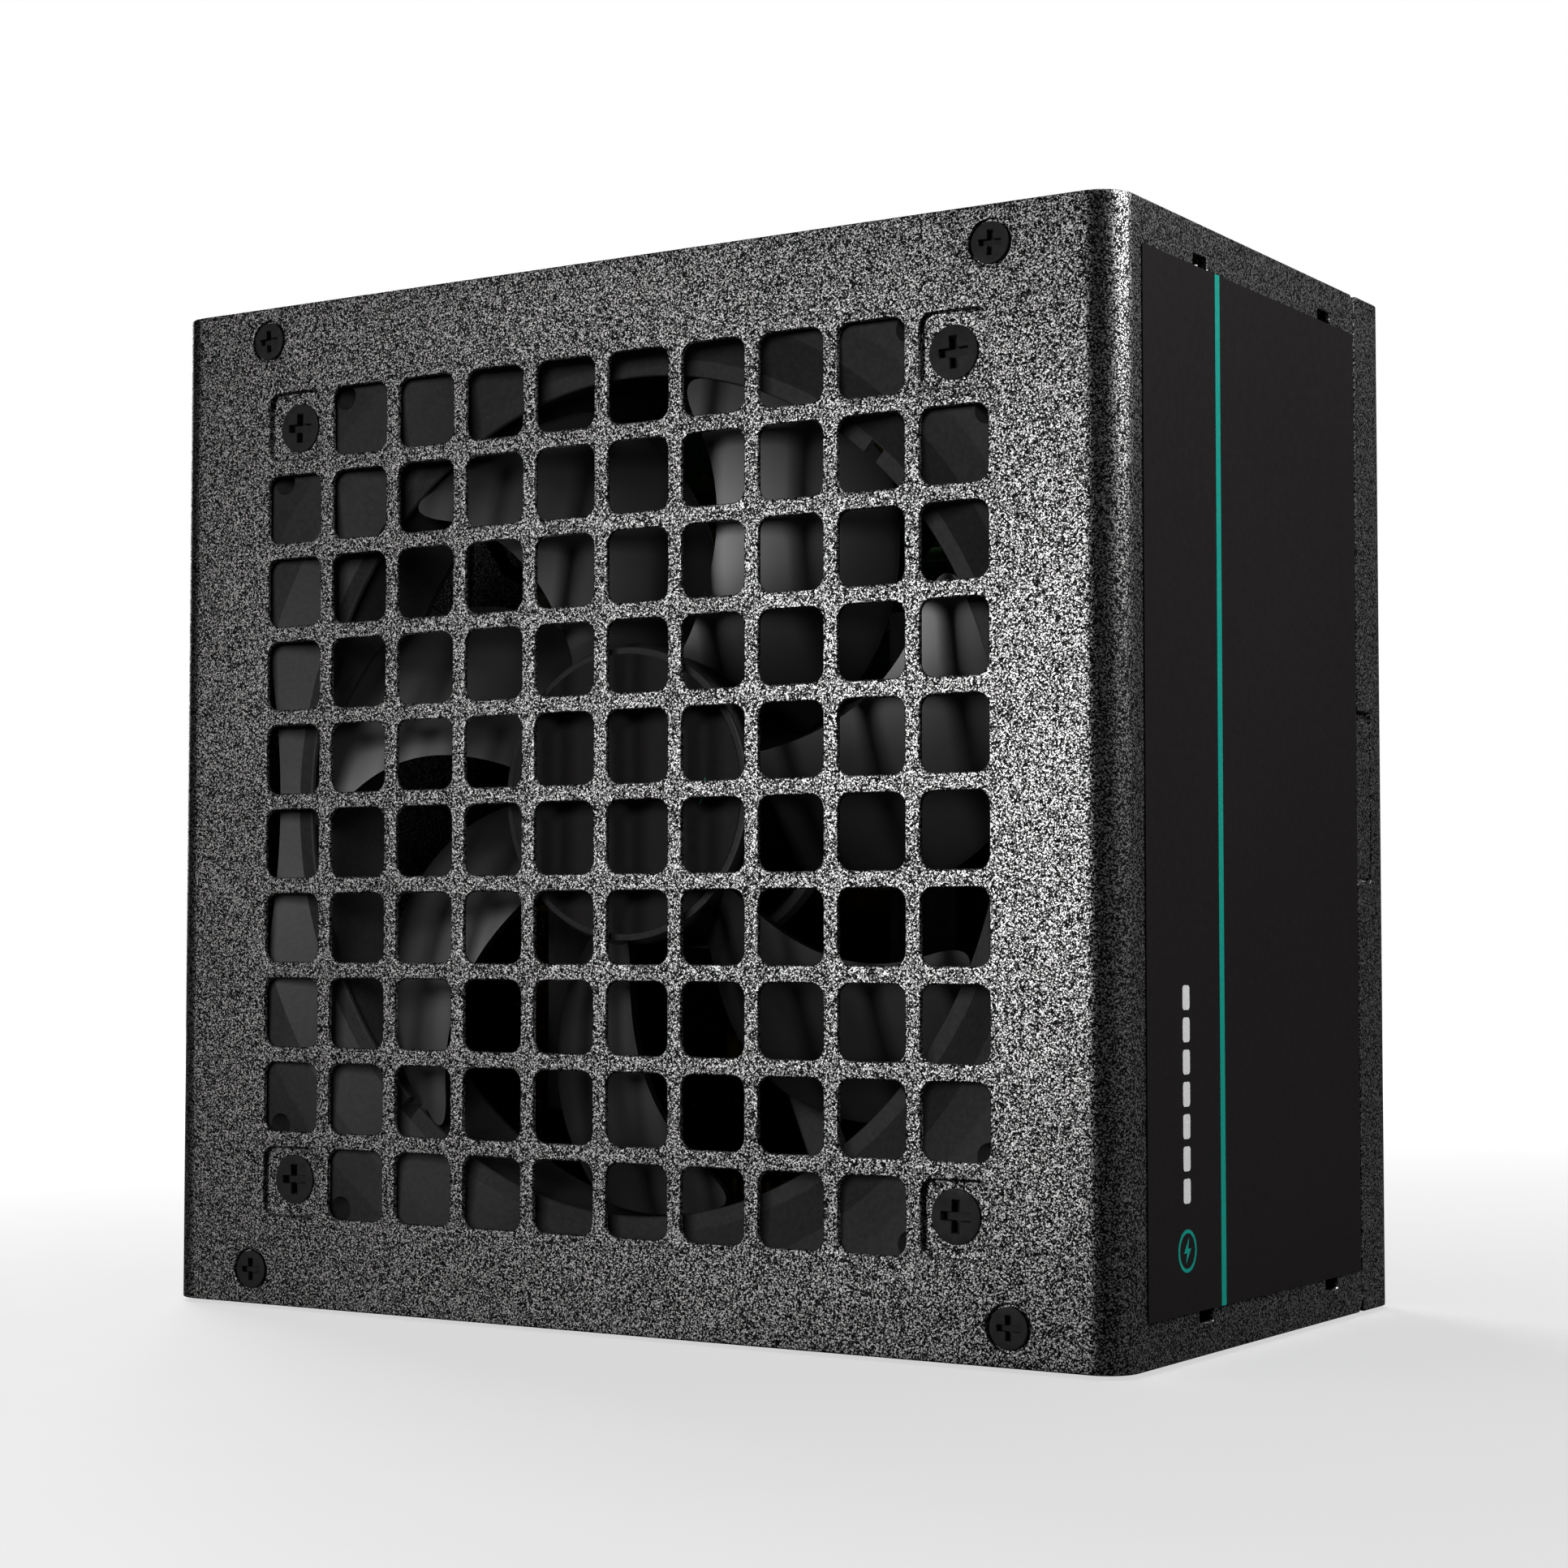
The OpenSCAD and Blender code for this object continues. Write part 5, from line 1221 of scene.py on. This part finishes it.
floor_mat = Nodes("floor")
lp = floor_mat.node("ShaderNodeLightPath")
tooth = floor_mat.noise(60, 2.0)
col = floor_mat.mix(lp.outputs["Is Camera Ray"], (0.16, 0.16, 0.16), floor_mat.ramp(tooth, [(0.3, 0.86), (0.7, 0.90)]))
away = floor_mat.node("ShaderNodeVectorMath")
away.operation = "LENGTH"
floor_mat.link(floor_mat.coord.outputs["Object"], away.inputs[0])
# emission seen only by the camera, dimmer near the object: painted shade on the floor round the object
floor_glow_and_painted_shade = floor_mat.ramp(floor_mat.math("MULTIPLY", away.outputs["Value"], 1.1), [(0.08, 0.62), (0.75, 1.0)])
floor_mat.set(Base_Color=col, Roughness=0.9, Specular_IOR_Level=0.1, Emission_Color=floor_glow_and_painted_shade, Emission_Strength=lp.outputs["Is Camera Ray"])
me = bpy.data.meshes.new("floor")
S = 6.0
me.from_pydata([(-S, -S, -0.0005), (S, -S, -0.0005), (S, S, -0.0005), (-S, S, -0.0005)], [], [(0, 1, 2, 3)])
floor_ob = bpy.data.objects.new("floor", me)
bpy.context.scene.collection.objects.link(floor_ob)
me.materials.append(floor_mat.mat)

world = bpy.data.worlds.new("studio")
bpy.context.scene.world = world
world.use_nodes = True
wt = world.node_tree
wt.nodes.clear()
wo = wt.nodes.new("ShaderNodeOutputWorld")
mixw = wt.nodes.new("ShaderNodeMixShader")
b0 = wt.nodes.new("ShaderNodeBackground")
b1 = wt.nodes.new("ShaderNodeBackground")
lpw = wt.nodes.new("ShaderNodeLightPath")
b0.inputs[0].default_value = (1, 1, 1, 1)
b0.inputs[1].default_value = 0.006
b1.inputs[0].default_value = (1, 1, 1, 1)
b1.inputs[1].default_value = 1.0
wt.links.new(lpw.outputs["Is Camera Ray"], mixw.inputs[0])
wt.links.new(b0.outputs[0], mixw.inputs[1])
wt.links.new(b1.outputs[0], mixw.inputs[2])
wt.links.new(mixw.outputs[0], wo.inputs[0])


def softbox(name, at, to, w, h, power, spread=180.0):
    d = bpy.data.lights.new(name, "AREA")
    d.shape = "RECTANGLE"
    d.size, d.size_y, d.energy = w, h, power
    d.spread = math.radians(spread)
    o = bpy.data.objects.new(name, d)
    bpy.context.scene.collection.objects.link(o)
    o.location = at
    o.rotation_euler = (Vector(to) - Vector(at)).to_track_quat("-Z", "Y").to_euler()
    return o


C = Vector((0, 0, FAN_Z * MM))
front = softbox("front", (-0.37, -0.86, 0.137), C, 0.28, 0.20, 1.05)
front_low = softbox("front_low", (-0.37, -0.86, 0.137), C, 0.28, 0.20, 1.05)
hub_key = softbox("hub_key", (0.12, -0.88, 0.30), C, 0.20, 0.20, 3.0)
fan_key = softbox("fan_key", (0.40, -0.80, 0.16), C, 0.20, 0.20, 8.5)
blade_key = softbox("blade_key", (-0.10, -0.90, 0.09), C, 0.22, 0.24, 6.0)
softbox("blade_fill", (-0.66, -0.64, 0.25), C, 0.22, 0.22, 3.6)
softbox("right_above", (0.31, 0.04, 0.35), C + Vector((0.07, 0, 0)), 0.30, 0.40, 2.2)
softbox("overhead", (-0.15, -0.35, 1.2), C, 0.9, 0.9, 1.2)
softbox("left_back", (-0.9, 0.6, 0.5), C, 0.6, 0.9, 5.0)
inside = softbox("inside", (0.05, 0.10, 1.0), C, 0.5, 0.5, 0.5)

# one light rakes over the sheet metal and the screws, one lights the fan frame and the other fittings, one reaches the
# parts inside from above
sheet_metal = bpy.data.collections.new("sheet_metal")
fittings = bpy.data.collections.new("fittings")
both = bpy.data.collections.new("outer_parts")
pressed = bpy.data.collections.new("recesses_and_hub")
hub = bpy.data.collections.new("hub")
nothing = bpy.data.collections.new("casts_nothing")
pressed.objects.link(recesses)
inner_parts = bpy.data.collections.new("inner_parts")
blades = bpy.data.collections.new("blades")
blades.objects.link(rotor)
sides = bpy.data.collections.new("all_but_the_floor")
for o in bpy.context.scene.objects:
    if o.type == "MESH":
        if "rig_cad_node" in o:
            inner_parts.objects.link(o)
            continue
        both.objects.link(o)
        if o == floor_ob:
            continue
        sides.objects.link(o)
        if o.name in ("fan_hub_disc", "fan_hub_bars", "fan_hub_sign"):
            pressed.objects.link(o)
            hub.objects.link(o)
        elif o in (cover, tray) or o.name in ("case_screws", "fan_mounting_screws"):
            sheet_metal.objects.link(o)
        elif o not in (recesses, rotor) and "_label_" not in o.name:
            fittings.objects.link(o)
for o in bpy.context.scene.objects:
    if o.type == "LIGHT":
        o.visible_camera = False
        o.light_linking.receiver_collection = {"front": sheet_metal, "fan_key": fittings, "front_low": pressed, "hub_key": hub, "blade_key": blades, "blade_fill": blades, "right_above": sides,
                                               "inside": inner_parts}.get(o.name, both)
front_low.light_linking.blocker_collection = nothing
hub_key.light_linking.blocker_collection = nothing

cam_data = bpy.data.cameras.new("camera")
cam = bpy.data.objects.new("camera", cam_data)
bpy.context.scene.collection.objects.link(cam)
cam_data.lens = 69.837
cam_data.sensor_width = 36.0
cam_data.sensor_fit = "HORIZONTAL"
cam_data.clip_start = 0.01
fwd = Vector((-0.53465, 0.84365, 0.04906)).normalized()
right = Vector((0.84466, 0.53530, -0.00009)).normalized()
up = right.cross(fwd).normalized()
right = fwd.cross(up).normalized()
cam.matrix_world = Matrix(((right.x, up.x, -fwd.x, 0.232227), (right.y, up.y, -fwd.y, -0.364579), (right.z, up.z, -fwd.z, 0.051597), (0, 0, 0, 1)))
bpy.context.scene.camera = cam
bpy.context.scene.view_settings.view_transform = "Standard"
bpy.context.scene.view_settings.look = "None"
